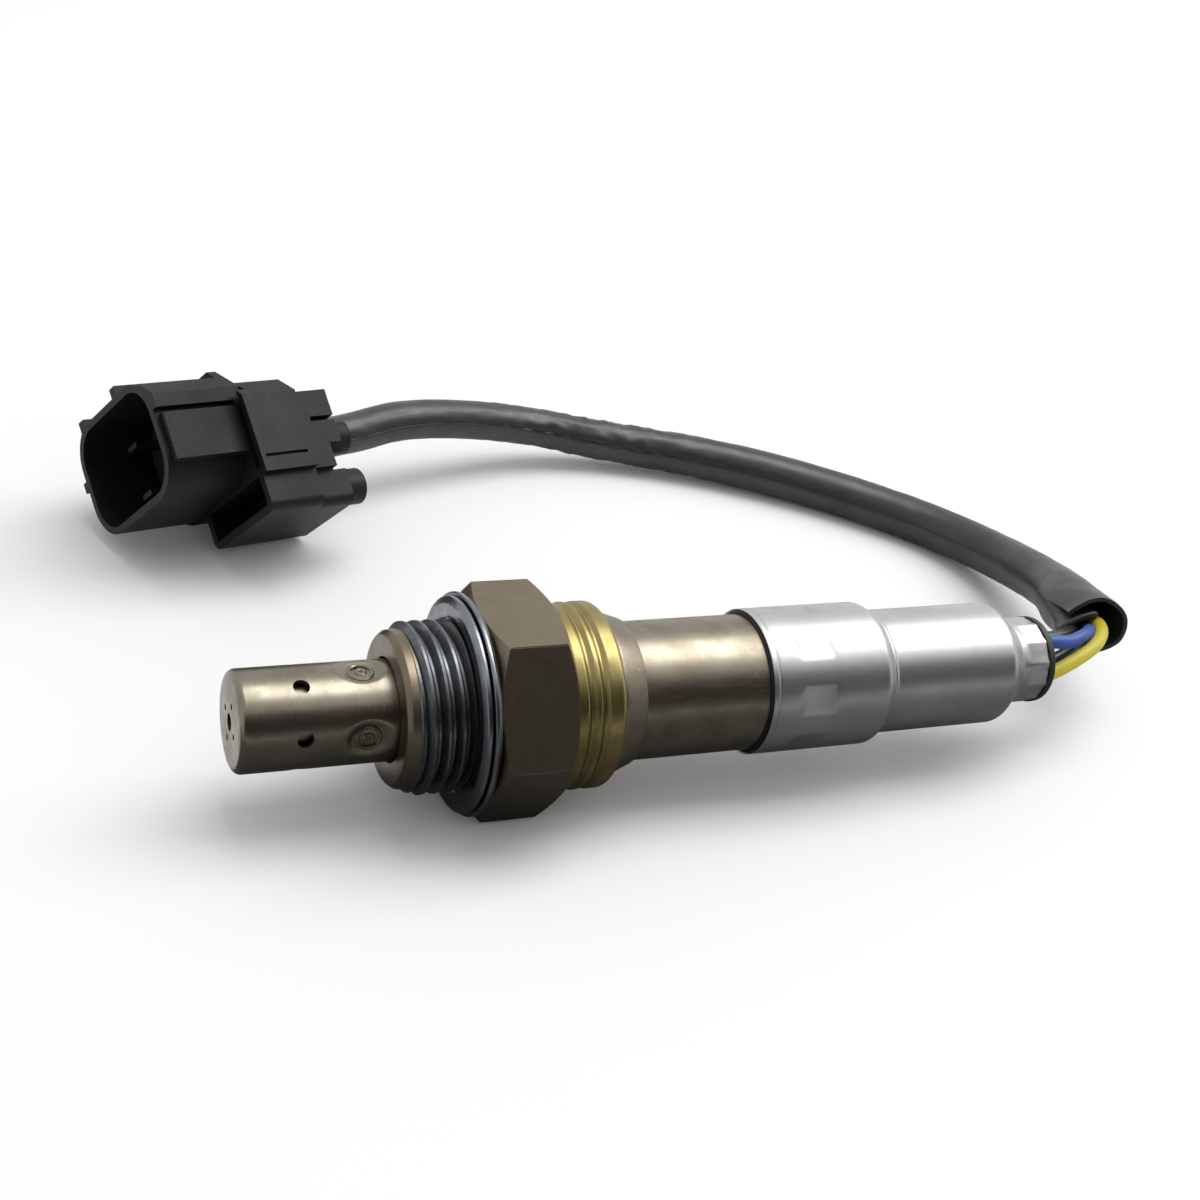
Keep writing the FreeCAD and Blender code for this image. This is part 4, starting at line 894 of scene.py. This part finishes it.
def spline_object(name: str, points: Sequence[Vector], resolution: int) -> bpy.types.Object:
    """A NURBS line through space.

    Args:
        name: The new object's name.
        points: Its control points, in metres.
        resolution: Steps between two of them.

    Returns:
        The curve object.
    """
    line = bpy.data.curves.new(name, "CURVE")
    line.dimensions = "3D"
    spline = line.splines.new("NURBS")
    spline.points.add(len(points) - 1)
    for place, point in zip(spline.points, points):
        place.co = (*point, 1.0)
    spline.order_u = 3
    spline.use_endpoint_u = True
    spline.resolution_u = resolution
    holder = bpy.data.objects.new(name, line)
    bpy.context.scene.collection.objects.link(holder)
    return holder


def spline_points(points: Sequence[Vector]) -> list[Vector]:
    """Reads points along a spline.

    Args:
        points: The spline's control points, in metres.

    Returns:
        The points, in metres.
    """
    holder = spline_object("route", points, 24)
    bpy.context.view_layer.update()
    read = bpy.data.meshes.new_from_object(holder)
    path = [corner.co.copy() for corner in read.vertices]
    bpy.data.objects.remove(holder, do_unlink=True)
    bpy.data.meshes.remove(read)
    return path


def evenly(path: Sequence[Vector], count: int) -> list[Vector]:
    """Spaces the points of a line evenly.

    Args:
        path: The line's points.
        count: How many points the new line has.

    Returns:
        The new line's points.
    """
    steps = [0.0]
    for here, there in zip(path, path[1:]):
        steps.append(steps[-1] + (there - here).length)
    spread, at = [], 0
    for number in range(count):
        goal = steps[-1] * number / (count - 1)
        while at < len(steps) - 2 and steps[at + 1] < goal:
            at += 1
        share = (goal - steps[at]) / max(steps[at + 1] - steps[at], 1e-12)
        spread.append(path[at].lerp(path[at + 1], min(1.0, share)))
    return spread


def round_line(name: str, points: Sequence[Vector], radius: float) -> bpy.types.Object:
    """A round rod along a spline.

    Args:
        name: The new object's name.
        points: The spline's control points, in metres.
        radius: The rod's radius in mm.

    Returns:
        The rod as a closed mesh.
    """
    rod = spline_object(name, points, 16)
    rod.data.bevel_depth = radius * MM
    rod.data.bevel_resolution = 6
    rod.data.use_fill_caps = True
    hold(rod)
    bpy.ops.object.convert(target="MESH")
    edit(rod)
    return sealed(rod)


@dataclass
class Sheath:
    """Soft slit vinyl tube from beside the sensor to the connector, one long edge tucked under the other.

    Points and thicknesses are in mm. A place or a run along the tube is a share of its length from the open
    end, and a pair of them, such as closing, is a start and a run. The slit's place is in degrees, and other
    angles round the tube are in radians.
    """

    route: tuple[Place, ...] = (
        (86.0, 4.61, 1.14), (90.16, 13.94, -1.45), (93.12, 23.96, -4.49), (94.05, 34.28, -7.25),
        (91.15, 44.47, -8.66), (83.38, 53.08, -8.65), (73.05, 61.39, -8.47), (61.29, 68.3, -8.32),
        (48.65, 72.76, -8.01), (36.42, 74.01, -5.8), (24.09, 71.03, -2.97), (13.79, 68.07, -1.59),
        (5.94, 64.66, -2.16), (-0.61, 62.27, -1.55))
    mouth: tuple[tuple[float, float], ...] = (
        (0.0, 1.5), (-0.9, 1.15), (-1.9, 0.6), (-2.9, -0.1), (-3.8, -0.9), (-4.25, -1.6), (-4.1, -2.5),
        (-3.2, -3.3), (-1.6, -3.8), (0.4, -3.8), (2.4, -3.1), (3.9, -1.8), (4.4, -0.2), (4.1, 1.4),
        (3.2, 2.6), (1.8, 3.35), (0.5, 3.55), (-0.9, 3.15), (-2.2, 2.2), (-3.4, 1.0))
    widths: tuple[tuple[float, float], ...] = (
        (0.0, 3.5), (0.06, 3.45), (0.12, 3.25), (0.3, 3.15), (0.5, 3.12), (0.62, 2.95), (0.72, 2.74),
        (0.85, 2.72), (1.0, 2.68))
    diameter: float = 6.2
    wall: float = 0.5
    thickest: float = 0.7
    stretch: float = 0.22
    stretching: tuple[float, float] = (0.06, 0.1)
    lip: float = 0.18
    lip_run: float = 0.012
    lip_fade: float = 0.08
    mouth_run: float = 0.035
    closing: tuple[float, float] = (0.08, 0.1)
    slit: float = 172.0
    slit_drift: float = 10.0
    slit_settles: float = 0.3
    tuck: float = math.radians(52.0)
    tuck_drop: float = 0.75
    clearance: float = 0.05
    press: float = 0.6
    lap_turns: tuple[float, float] = (0.9, 0.18)
    overlap: float = 0.05
    flare: float = 1.1
    flare_turn: float = math.radians(205.0)
    flare_run: float = 0.045
    crinkle_place: float = 0.66
    crinkle_run: float = 0.09
    waves: tuple[tuple[float, ...], ...] = ((62.0, 0.16, 3.1, 0.05, 0.1), (150.0, 0.11, 8.4, 0.0, 0.2))
    bead: float = 0.42
    bead_share: float = 0.3
    rings: int = 260
    columns: int = 96
    path: list[Vector] = field(default_factory=list)

    def radius(self, share: float) -> float:
        """The tube's radius in mm at a share of its length from the open end."""
        for (start, radius), (end, following) in zip(self.widths, self.widths[1:]):
            if share <= end:
                return radius + (following - radius) * (share - start) / (end - start)
        return self.widths[-1][1]

    def wall_at(self, share: float) -> float:
        """The wall's thickness in mm, which is stretched thinner away from the open end."""
        return self.wall - self.stretch * ramp(share, *self.stretching)

    def mouth_point(self, share: float) -> Vector:
        """A point of the open end's edge, on a smooth line through the measured ones.

        Args:
            share: Share of the way round, from the tucked edge.

        Returns:
            The point as (side, up), in mm.
        """
        last = len(self.mouth) - 1
        place = share * last
        number = min(int(place), last - 1)
        row = [Vector(self.mouth[min(max(number + step, 0), last)]) for step in (-1, 0, 1, 2)]
        part = place - number
        bend = (row[0] * (-part + 2 * part ** 2 - part ** 3) + row[1] * (2 - 5 * part ** 2 + 3 * part ** 3)
                + row[2] * (part + 4 * part ** 2 - 3 * part ** 3) + row[3] * (part ** 3 - part ** 2))
        return bend / 2

    def reach(self, share: float, turn: float) -> float:
        """Distance in mm from the middle to the wall.

        Args:
            share: Share of the tube's length from its open end.
            turn: Angle from the tucked edge, in radians.

        Returns:
            The distance, less where one edge lies under the other and more where the lower side flares.
        """
        radius = self.radius(share)
        closed = ramp(share, *self.closing)
        step = self.wall_at(share) / 2 + self.clearance
        sunk = step * (1.0 + self.press * closed)
        if turn < self.tuck:
            return radius - sunk - self.tuck_drop * (1.0 - turn / self.tuck)
        loose, tight = self.lap_turns
        lap = ramp(turn, self.tuck, loose + (tight - loose) * closed)
        late = ramp(turn, self.tuck + math.tau - 1.0, 1.0 + self.overlap)
        return radius - sunk * (1.0 - lap) ** 2 + step * (1.0 - closed) * late * late

    def section(self, share: float) -> list[Vector]:
        """The tube's section.

        Args:
            share: Share of the tube's length from its open end.

        Returns:
            Points as (side, up) in mm, from the tucked edge.
        """
        slit = math.radians(self.slit - self.slit_drift * ramp(share, 0.0, self.slit_settles))
        opened = bell(share, self.mouth_run)
        flare = self.flare * bell(share - self.flare_run, self.flare_run)
        points = []
        for number in range(self.columns):
            way = number / (self.columns - 1)
            turn = way * (math.tau + self.tuck + self.overlap)
            angle = slit - self.tuck + turn
            low = max(0.0, math.cos(angle - self.flare_turn)) ** 2
            plain = Vector((math.cos(angle), math.sin(angle))) * (self.reach(share, turn) + flare * low)
            points.append(plain.lerp(self.mouth_point(way), opened))
        return points

    def ripple(self, share: float, column: int) -> float:
        """Height of the skin's creases in mm, which are deepest in the crinkled bend.

        Args:
            share: Share of the tube's length from its open end.
            column: Number of the point round the tube.

        Returns:
            The height, as the sum of the long and the short waves.
        """
        crinkle = bell(share - self.crinkle_place, self.crinkle_run)
        height = 0.0
        for along, across, seed, everywhere, creased in self.waves:
            wave = noise.noise(Vector((share * along, column * across, seed)))
            height += wave * (everywhere + creased * crinkle)
        return height

    def corners(self) -> list[Vector]:
        """The skin's points in metres, ring after ring along the route."""
        corners = []
        for ring, centre in enumerate(self.path):
            before, after = self.path[max(0, ring - 1)], self.path[min(self.rings - 1, ring + 1)]
            along = (after - before).normalized()
            side = along.cross(Vector((0, 0, 1))).normalized()
            up = side.cross(along)
            share = ring / (self.rings - 1)
            for column, (across, high) in enumerate(self.section(share)):
                swell = 1.0 + self.ripple(share, column) / self.radius(share)
                corners.append(centre + side * across * swell * MM + up * high * swell * MM)
        return corners

    def skin(self, corners: Sequence[Vector]) -> bpy.types.Object:
        """The tube's outside as a grid of faces, with a UV map in metres along and round it.

        Args:
            corners: The grid's points in metres, ring after ring.

        Returns:
            The skin, with its faces outwards.
        """
        rings, columns = self.rings, self.columns
        faces = [(ring * columns + column, (ring + 1) * columns + column,
                  (ring + 1) * columns + column + 1, ring * columns + column + 1)
                 for ring in range(rings - 1) for column in range(columns - 1)]
        net = bpy.data.meshes.new("sheath")
        net.from_pydata(corners, [], faces)
        length = sum((there - here).length for here, there in zip(self.path, self.path[1:]))
        spread = net.uv_layers.new(name="along")
        for loop in net.loops:
            ring, column = divmod(loop.vertex_index, columns)
            spread.data[loop.index].uv = (ring / (rings - 1) * length,
                                          column / (columns - 1) * self.diameter * math.pi * MM)
        middle = net.polygons[len(net.polygons) // 2]
        if middle.normal.dot(middle.center - self.path[rings // 2]) < 0:
            net.flip_normals()
        tube = bpy.data.objects.new("sheath", net)
        bpy.context.scene.collection.objects.link(tube)
        return tube

    def thicken(self, tube: bpy.types.Object) -> None:
        """Gives the skin its wall, with a thicker lip beside the open end."""
        thick = tube.vertex_groups.new(name="wall")
        for number in range(self.rings * self.columns):
            ring, column = divmod(number, self.columns)
            along = ring / (self.rings - 1)
            from_bead = self.bead_share - column / (self.columns - 1)
            lip = bell(along, self.lip_run) * ramp(from_bead, 0.0, self.lip_fade)
            thick.add([number], (self.wall_at(along) + self.lip * lip) / self.thickest, "REPLACE")
        modify(tube, "SOLIDIFY", thickness=self.thickest * MM, offset=-1.0, vertex_group="wall")

    def build(self) -> bpy.types.Object:
        """Makes the tube along its route, with the rolled edge of its open end."""
        self.path = evenly(spline_points([Vector(point) * MM for point in self.route]), self.rings)
        corners = self.corners()
        tube = self.skin(corners)
        self.thicken(tube)
        rim = [corners[number].lerp(self.path[0], 0.12)
               for number in range(0, int(self.columns * self.bead_share), 3)]
        rolled = round_line("rolled_edge", [rim[0].lerp(self.path[3], 0.1), *rim], self.bead)
        return finished(joined("sheath", [tube, rolled]), SHEATH_VINYL, "cable_sheath", degrees=60.0)


@dataclass
class Wires:
    """The four wires between the grommet and the sheath's open end."""

    radius: float = 0.85
    names: tuple[str, ...] = ("blue_wire", "yellow_wire", "black_wire_front", "black_wire_rear")
    straight_run: tuple[float, float] = (57.0, 73.0)
    bends: tuple[tuple[Place, ...], ...] = (
        ((75.5, -0.75, 2.8), (78.4, -0.6, 2.35), (81.2, 0.4, 2.5), (84.2, 2.6, 1.5), (86.8, 6.2, -0.8),
         (88.8, 11.0, -2.0)),
        ((75.2, -2.85, -0.4), (78.6, -2.5, 1.1), (82.2, -1.0, 1.8), (85.0, 1.5, 1.9), (86.9, 4.6, 1.2),
         (88.6, 8.6, -0.6), (90.4, 12.8, -2.0)),
        ((75.2, 0.75, -2.7), (78.5, 0.9, -1.2), (82.0, 2.2, -0.9), (85.0, 4.6, -1.2), (87.6, 9.5, -2.4),
         (89.4, 13.0, -3.2)),
        ((75.5, 2.8, 0.75), (78.5, 3.0, 0.6), (82.0, 4.0, 0.2), (85.4, 6.8, -0.5), (88.2, 11.5, -1.6)))

    def points(self, number: int) -> list[Vector]:
        """One wire's control points in metres, from its contact to well inside the sheath."""
        straight_part = [(station, *wire_place(number)) for station in self.straight_run]
        return [Vector(point) * MM for point in (*straight_part, *self.bends[number])]

    def build(self) -> list[bpy.types.Object]:
        """Makes the wires as round rods along their splines."""
        return [finished(round_line(name + "_lead", self.points(number), self.radius), NODE_FINISHES[name],
                         name, degrees=50.0) for number, name in enumerate(self.names)]


# The connector


@dataclass
class Connector:
    """Moulded connector with its shroud, collar and rear block."""

    edge: float = 0.3
    point: Place = (-15.12, 56.99, -0.2)
    turns: tuple[tuple[str, float], ...] = (("Z", 20.0), ("Y", 5.0), ("X", 42.1))
    band_front: float = -7.4
    band_slack: float = 0.02
    band_foot: float = 9.5
    band_shift: float = 2.5
    collar_fill: Box = ((1.25, -6.6, 9.9), (6.3, 4.75, 12.3))
    shoulder: tuple[float, float] = (7.3, 7.7)
    shoulder_lean: float = 43.0
    shoulder_reach: tuple[float, float] = (-12.0, 14.0)
    shoulder_run: float = 10.0
    shoulder_tool: tuple[float, float] = (12.0, 20.0)
    side_cut: Box = ((1.25, 4.8, -12.0), (14.0, 9.0, 15.0))
    rear_step: Box = ((7.62, 2.4, 5.0), (14.0, 9.0, 15.0))
    corner_notch: Box = ((11.0, -7.9, 8.0), (14.0, -4.6, 14.0))
    latch_slot: Box = ((0.6, -5.95, 12.6), (6.6, -5.55, 14.0))
    tower_slot: Box = ((9.3, -1.65, 10.6), (14.0, -1.05, 13.0))
    lug_place: tuple[float, float] = (-3.3, 9.4)
    lug_radius: float = 2.1
    lug_reach: tuple[float, float] = (8.0, 14.8)

    def own_frame(self) -> Matrix:
        """The connector's frame, in metres: mating end at -X, latch at -Y, band at +Z."""
        place = Matrix.Translation(Vector(self.point) * MM)
        for axis, degrees in self.turns:
            place @= Matrix.Rotation(math.radians(degrees), 4, axis)
        return place

    def box(self, body: bpy.types.Object, corners: Box, lean: float = 0.0,
            operation: str = "DIFFERENCE") -> None:
        """Cuts a box out of the body, or adds one.

        Args:
            body: The moulding.
            corners: Lowest and highest corner in the connector's own frame, in mm.
            lean: Turn of the box about X through its lowest corner, in degrees.
            operation: "DIFFERENCE" or "UNION".
        """
        start, end = (Vector(corner) * MM for corner in corners)
        turn = self.own_frame() @ Matrix.Translation(start) @ Matrix.Rotation(math.radians(lean), 4, "X")
        fresh()
        bpy.ops.mesh.primitive_cube_add(size=1.0, location=turn @ ((end - start) / 2),
                                        rotation=turn.to_euler(), scale=tuple(end - start))
        carve(body, added("box"), operation)

    def moulding(self) -> bpy.types.Object:
        """A copy of the connector's solid, with its doubled corners merged."""
        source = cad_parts["connector_housing"]
        body = source.copy()
        body.data = source.data.copy()
        body.name = body.data.name = "connector_body"
        for key in list(body.keys()):
            del body[key]
        bpy.context.scene.collection.objects.link(body)
        body.hide_render = body.hide_viewport = False
        edit(body)
        bpy.ops.mesh.remove_doubles(threshold=1e-6)
        return body

    def advance_band(self, body: bpy.types.Object) -> None:
        """Moves the front of the raised band towards the mating end."""
        place = self.own_frame()
        own = place.inverted()
        moved = pick(body, "verts", lambda corner: (
            abs((own @ corner.co).x / MM - self.band_front) < self.band_slack
            and (own @ corner.co).z / MM > self.band_foot))
        log.info("band front: %d corners", moved)
        bpy.ops.transform.translate(value=place.to_3x3() @ Vector((-self.band_shift * MM, 0, 0)))
        bpy.ops.object.mode_set(mode="OBJECT")

    def cut_shoulder(self, body: bpy.types.Object) -> None:
        """Cuts the leaning shoulder off the collar and the block."""
        side, high = self.shoulder
        lean = math.radians(self.shoulder_lean)
        front, rear = self.shoulder_reach
        low = (front, side + self.shoulder_run * math.sin(lean), high - self.shoulder_run * math.cos(lean))
        across, up = self.shoulder_tool
        self.box(body, (low, (rear, low[1] + across, low[2] + up)), self.shoulder_lean)

    def lug(self, body: bpy.types.Object) -> None:
        """Adds the round outlet that the lead leaves by."""
        place = self.own_frame()
        front, rear = (place @ (Vector((x, *self.lug_place)) * MM) for x in self.lug_reach)
        carve(body, pin("lug", front, rear, self.lug_radius, 40), "UNION")

    def build(self) -> bpy.types.Object:
        """Shapes the moulding and softens its edges."""
        body = self.moulding()
        self.advance_band(body)
        self.box(body, self.collar_fill, operation="UNION")
        self.cut_shoulder(body)
        for cut in (self.side_cut, self.rear_step, self.corner_notch, self.latch_slot, self.tower_slot):
            self.box(body, cut)
        self.lug(body)
        edit(body)
        bpy.ops.mesh.dissolve_limited(angle_limit=math.radians(1.0))
        bpy.ops.object.mode_set(mode="OBJECT")
        modify(body, "BEVEL", width=self.edge * MM, segments=3, limit_method="ANGLE",
               angle_limit=math.radians(40), use_clamp_overlap=True)
        return keep_flats(finished(body, HOUSING_NYLON, "connector_housing", degrees=32.0))


# Studio


@dataclass(frozen=True)
class Panel:
    """A soft light: its centre, the point it faces and its size in metres, and its brightness over white."""

    place: Place
    aim: Place
    size: tuple[float, float]
    radiance: float

    def build(self, name: str) -> bpy.types.Object:
        """Adds the lamp."""
        lamp = bpy.data.lights.new(name, "AREA")
        lamp.shape, lamp.size, lamp.size_y = "RECTANGLE", *self.size
        lamp.energy = self.radiance * math.pi * self.size[0] * self.size[1]
        holder = bpy.data.objects.new(name, lamp)
        back = (Vector(self.place) - Vector(self.aim)).normalized()
        across = (Vector((1, 0, 0)) - back * back.x).normalized()
        holder.matrix_world = Matrix((across, back.cross(across), back)).transposed().to_4x4()
        holder.location = self.place
        bpy.context.scene.collection.objects.link(holder)
        return holder


def matt(name: str, colour: str, gloss: float = 0.5) -> bpy.types.Material:
    """A plain matt material for the stage.

    Args:
        name: The material's name.
        colour: Its sRGB colour.
        gloss: Strength of its faint reflection, where 0.5 is usual.

    Returns:
        The material.
    """
    made = bpy.data.materials.new(name)
    made.use_nodes = True
    sockets = made.node_tree.nodes["Principled BSDF"].inputs
    sockets["Base Color"].default_value = linear(colour)
    sockets["Roughness"].default_value = PAPER_ROUGHNESS
    sockets["Specular IOR Level"].default_value = gloss
    return made


@dataclass(frozen=True)
class Card:
    """A card that only the metal reflects: its centre and size in metres, and its turn in radians."""

    place: Place
    lean: Place
    size: tuple[float, float]
    colour: str

    def build(self, name: str) -> None:
        """Adds the card to the stage."""
        fresh()
        bpy.ops.mesh.primitive_plane_add(size=1.0, location=self.place, rotation=self.lean)
        bpy.context.object.scale = (*self.size, 1.0)
        card = added(name)
        card.visible_camera = card.visible_diffuse = card.visible_shadow = False
        card.data.materials.append(matt(name + " felt", self.colour))


@dataclass
class Studio:
    """Pale floor, soft light and the camera of the photograph."""

    floor: float = -11.8
    floor_size: float = 12.0
    place: Place = (-58.08, -140.29, 104.62)
    right: Place = (0.91577, -0.36307, 0.1719)
    up: Place = (0.05201, 0.53148, 0.84547)
    lens: float = 52.966
    sensor: float = 36.0
    clip: tuple[float, float] = (0.005, 50.0)
    soft_light: float = 0.6
    dark: Card = Card((0.15, -0.36, 0.2), (math.pi / 2, 0.0, 0.0), (1.4, 0.48), "#141414")
    # Grey card on the floor under the sensor, seen only in the metal: painted shade that darkens the floor
    # the metal's underside reflects.
    grey: Card = Card((0.04, -0.04, -0.0116), (0.0, 0.0, 0.0), (0.3, 0.09), "#6e6e6e")
    key: Panel = Panel((0.45, 0.1, 0.9), (0.03, 0.03, 0.0), (1.3, 0.62), 2.7)
    shine: Panel = Panel((0.43, 0.12, 0.9), (0.03, 0.0, 0.0), (1.3, 0.5), 3.0)

    def camera(self) -> None:
        """Sets up the camera."""
        right = Vector(self.right).normalized()
        up = Vector(self.up)
        up = (up - right * up.dot(right)).normalized()
        lens = bpy.data.cameras.new("camera")
        lens.lens, lens.sensor_width, lens.sensor_fit = self.lens, self.sensor, "HORIZONTAL"
        lens.clip_start, lens.clip_end = self.clip
        camera = bpy.data.objects.new("camera", lens)
        camera.matrix_world = Matrix((right, up, right.cross(up))).transposed().to_4x4()
        camera.location = Vector(self.place) * MM
        bpy.context.scene.collection.objects.link(camera)
        bpy.context.scene.camera = camera

    def backdrop(self) -> None:
        """Adds the floor and the two cards that the metal reflects; the grey one under the sensor is painted
        shade in those reflections.
        """
        fresh()
        bpy.ops.mesh.primitive_plane_add(size=self.floor_size, location=(0, 0, self.floor * MM))
        floor = added("floor")
        floor.data.materials.append(matt("paper floor", "#fcfcfc", 0.0))
        self.dark.build("dark_card")
        self.grey.build("painted_shade_card")

    def surroundings(self) -> None:
        """Adds the white surroundings, which are dimmer as a light than they look."""
        world = bpy.data.worlds.new("studio")
        bpy.context.scene.world = world
        world.use_nodes = True
        tree = world.node_tree
        tree.nodes.clear()
        ray = add_node(tree, "ShaderNodeLightPath")
        seen = ray.outputs["Is Camera Ray"]
        for other in ("Is Glossy Ray", "Is Transmission Ray"):
            seen = add_node(tree, "ShaderNodeMath", {0: seen, 1: ray.outputs[other]},
                            operation="MAXIMUM").outputs[0]
        soft, white = (add_node(tree, "ShaderNodeBackground", {"Color": linear("#ffffff"), "Strength": level})
                       for level in (self.soft_light, 1.0))
        both = add_node(tree, "ShaderNodeMixShader", {0: seen, 1: soft.outputs[0], 2: white.outputs[0]})
        add_node(tree, "ShaderNodeOutputWorld", {"Surface": both.outputs[0]})

    def build(self) -> None:
        """Sets the stage."""
        self.camera()
        self.backdrop()
        self.surroundings()
        self.key.build("key_panel")
        self.shine.build("shine_panel").visible_diffuse = False
        bpy.context.scene.view_settings.view_transform = "Standard"


# Everything in order


def dress_nodes() -> None:
    """Gives every CAD node its finish."""
    for name, finish in NODE_FINISHES.items():
        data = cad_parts[name].data
        data.materials.clear()
        data.materials.append(finish.material())


def main() -> None:
    """Builds the scene and reports each piece."""
    logging.basicConfig(level=logging.INFO, format="%(message)s")
    sheath_plan = Sheath()
    sheath = sheath_plan.build()
    Studio().build()
    wires = Wires().build()
    dress_nodes()
    for assembly in (GasTip(), ThreadedBody(), Gasket(), BrassRing(), Sleeve(), Grommet()):
        assembly.build()
    connector = Connector().build()


if __name__ == "__main__":
    main()
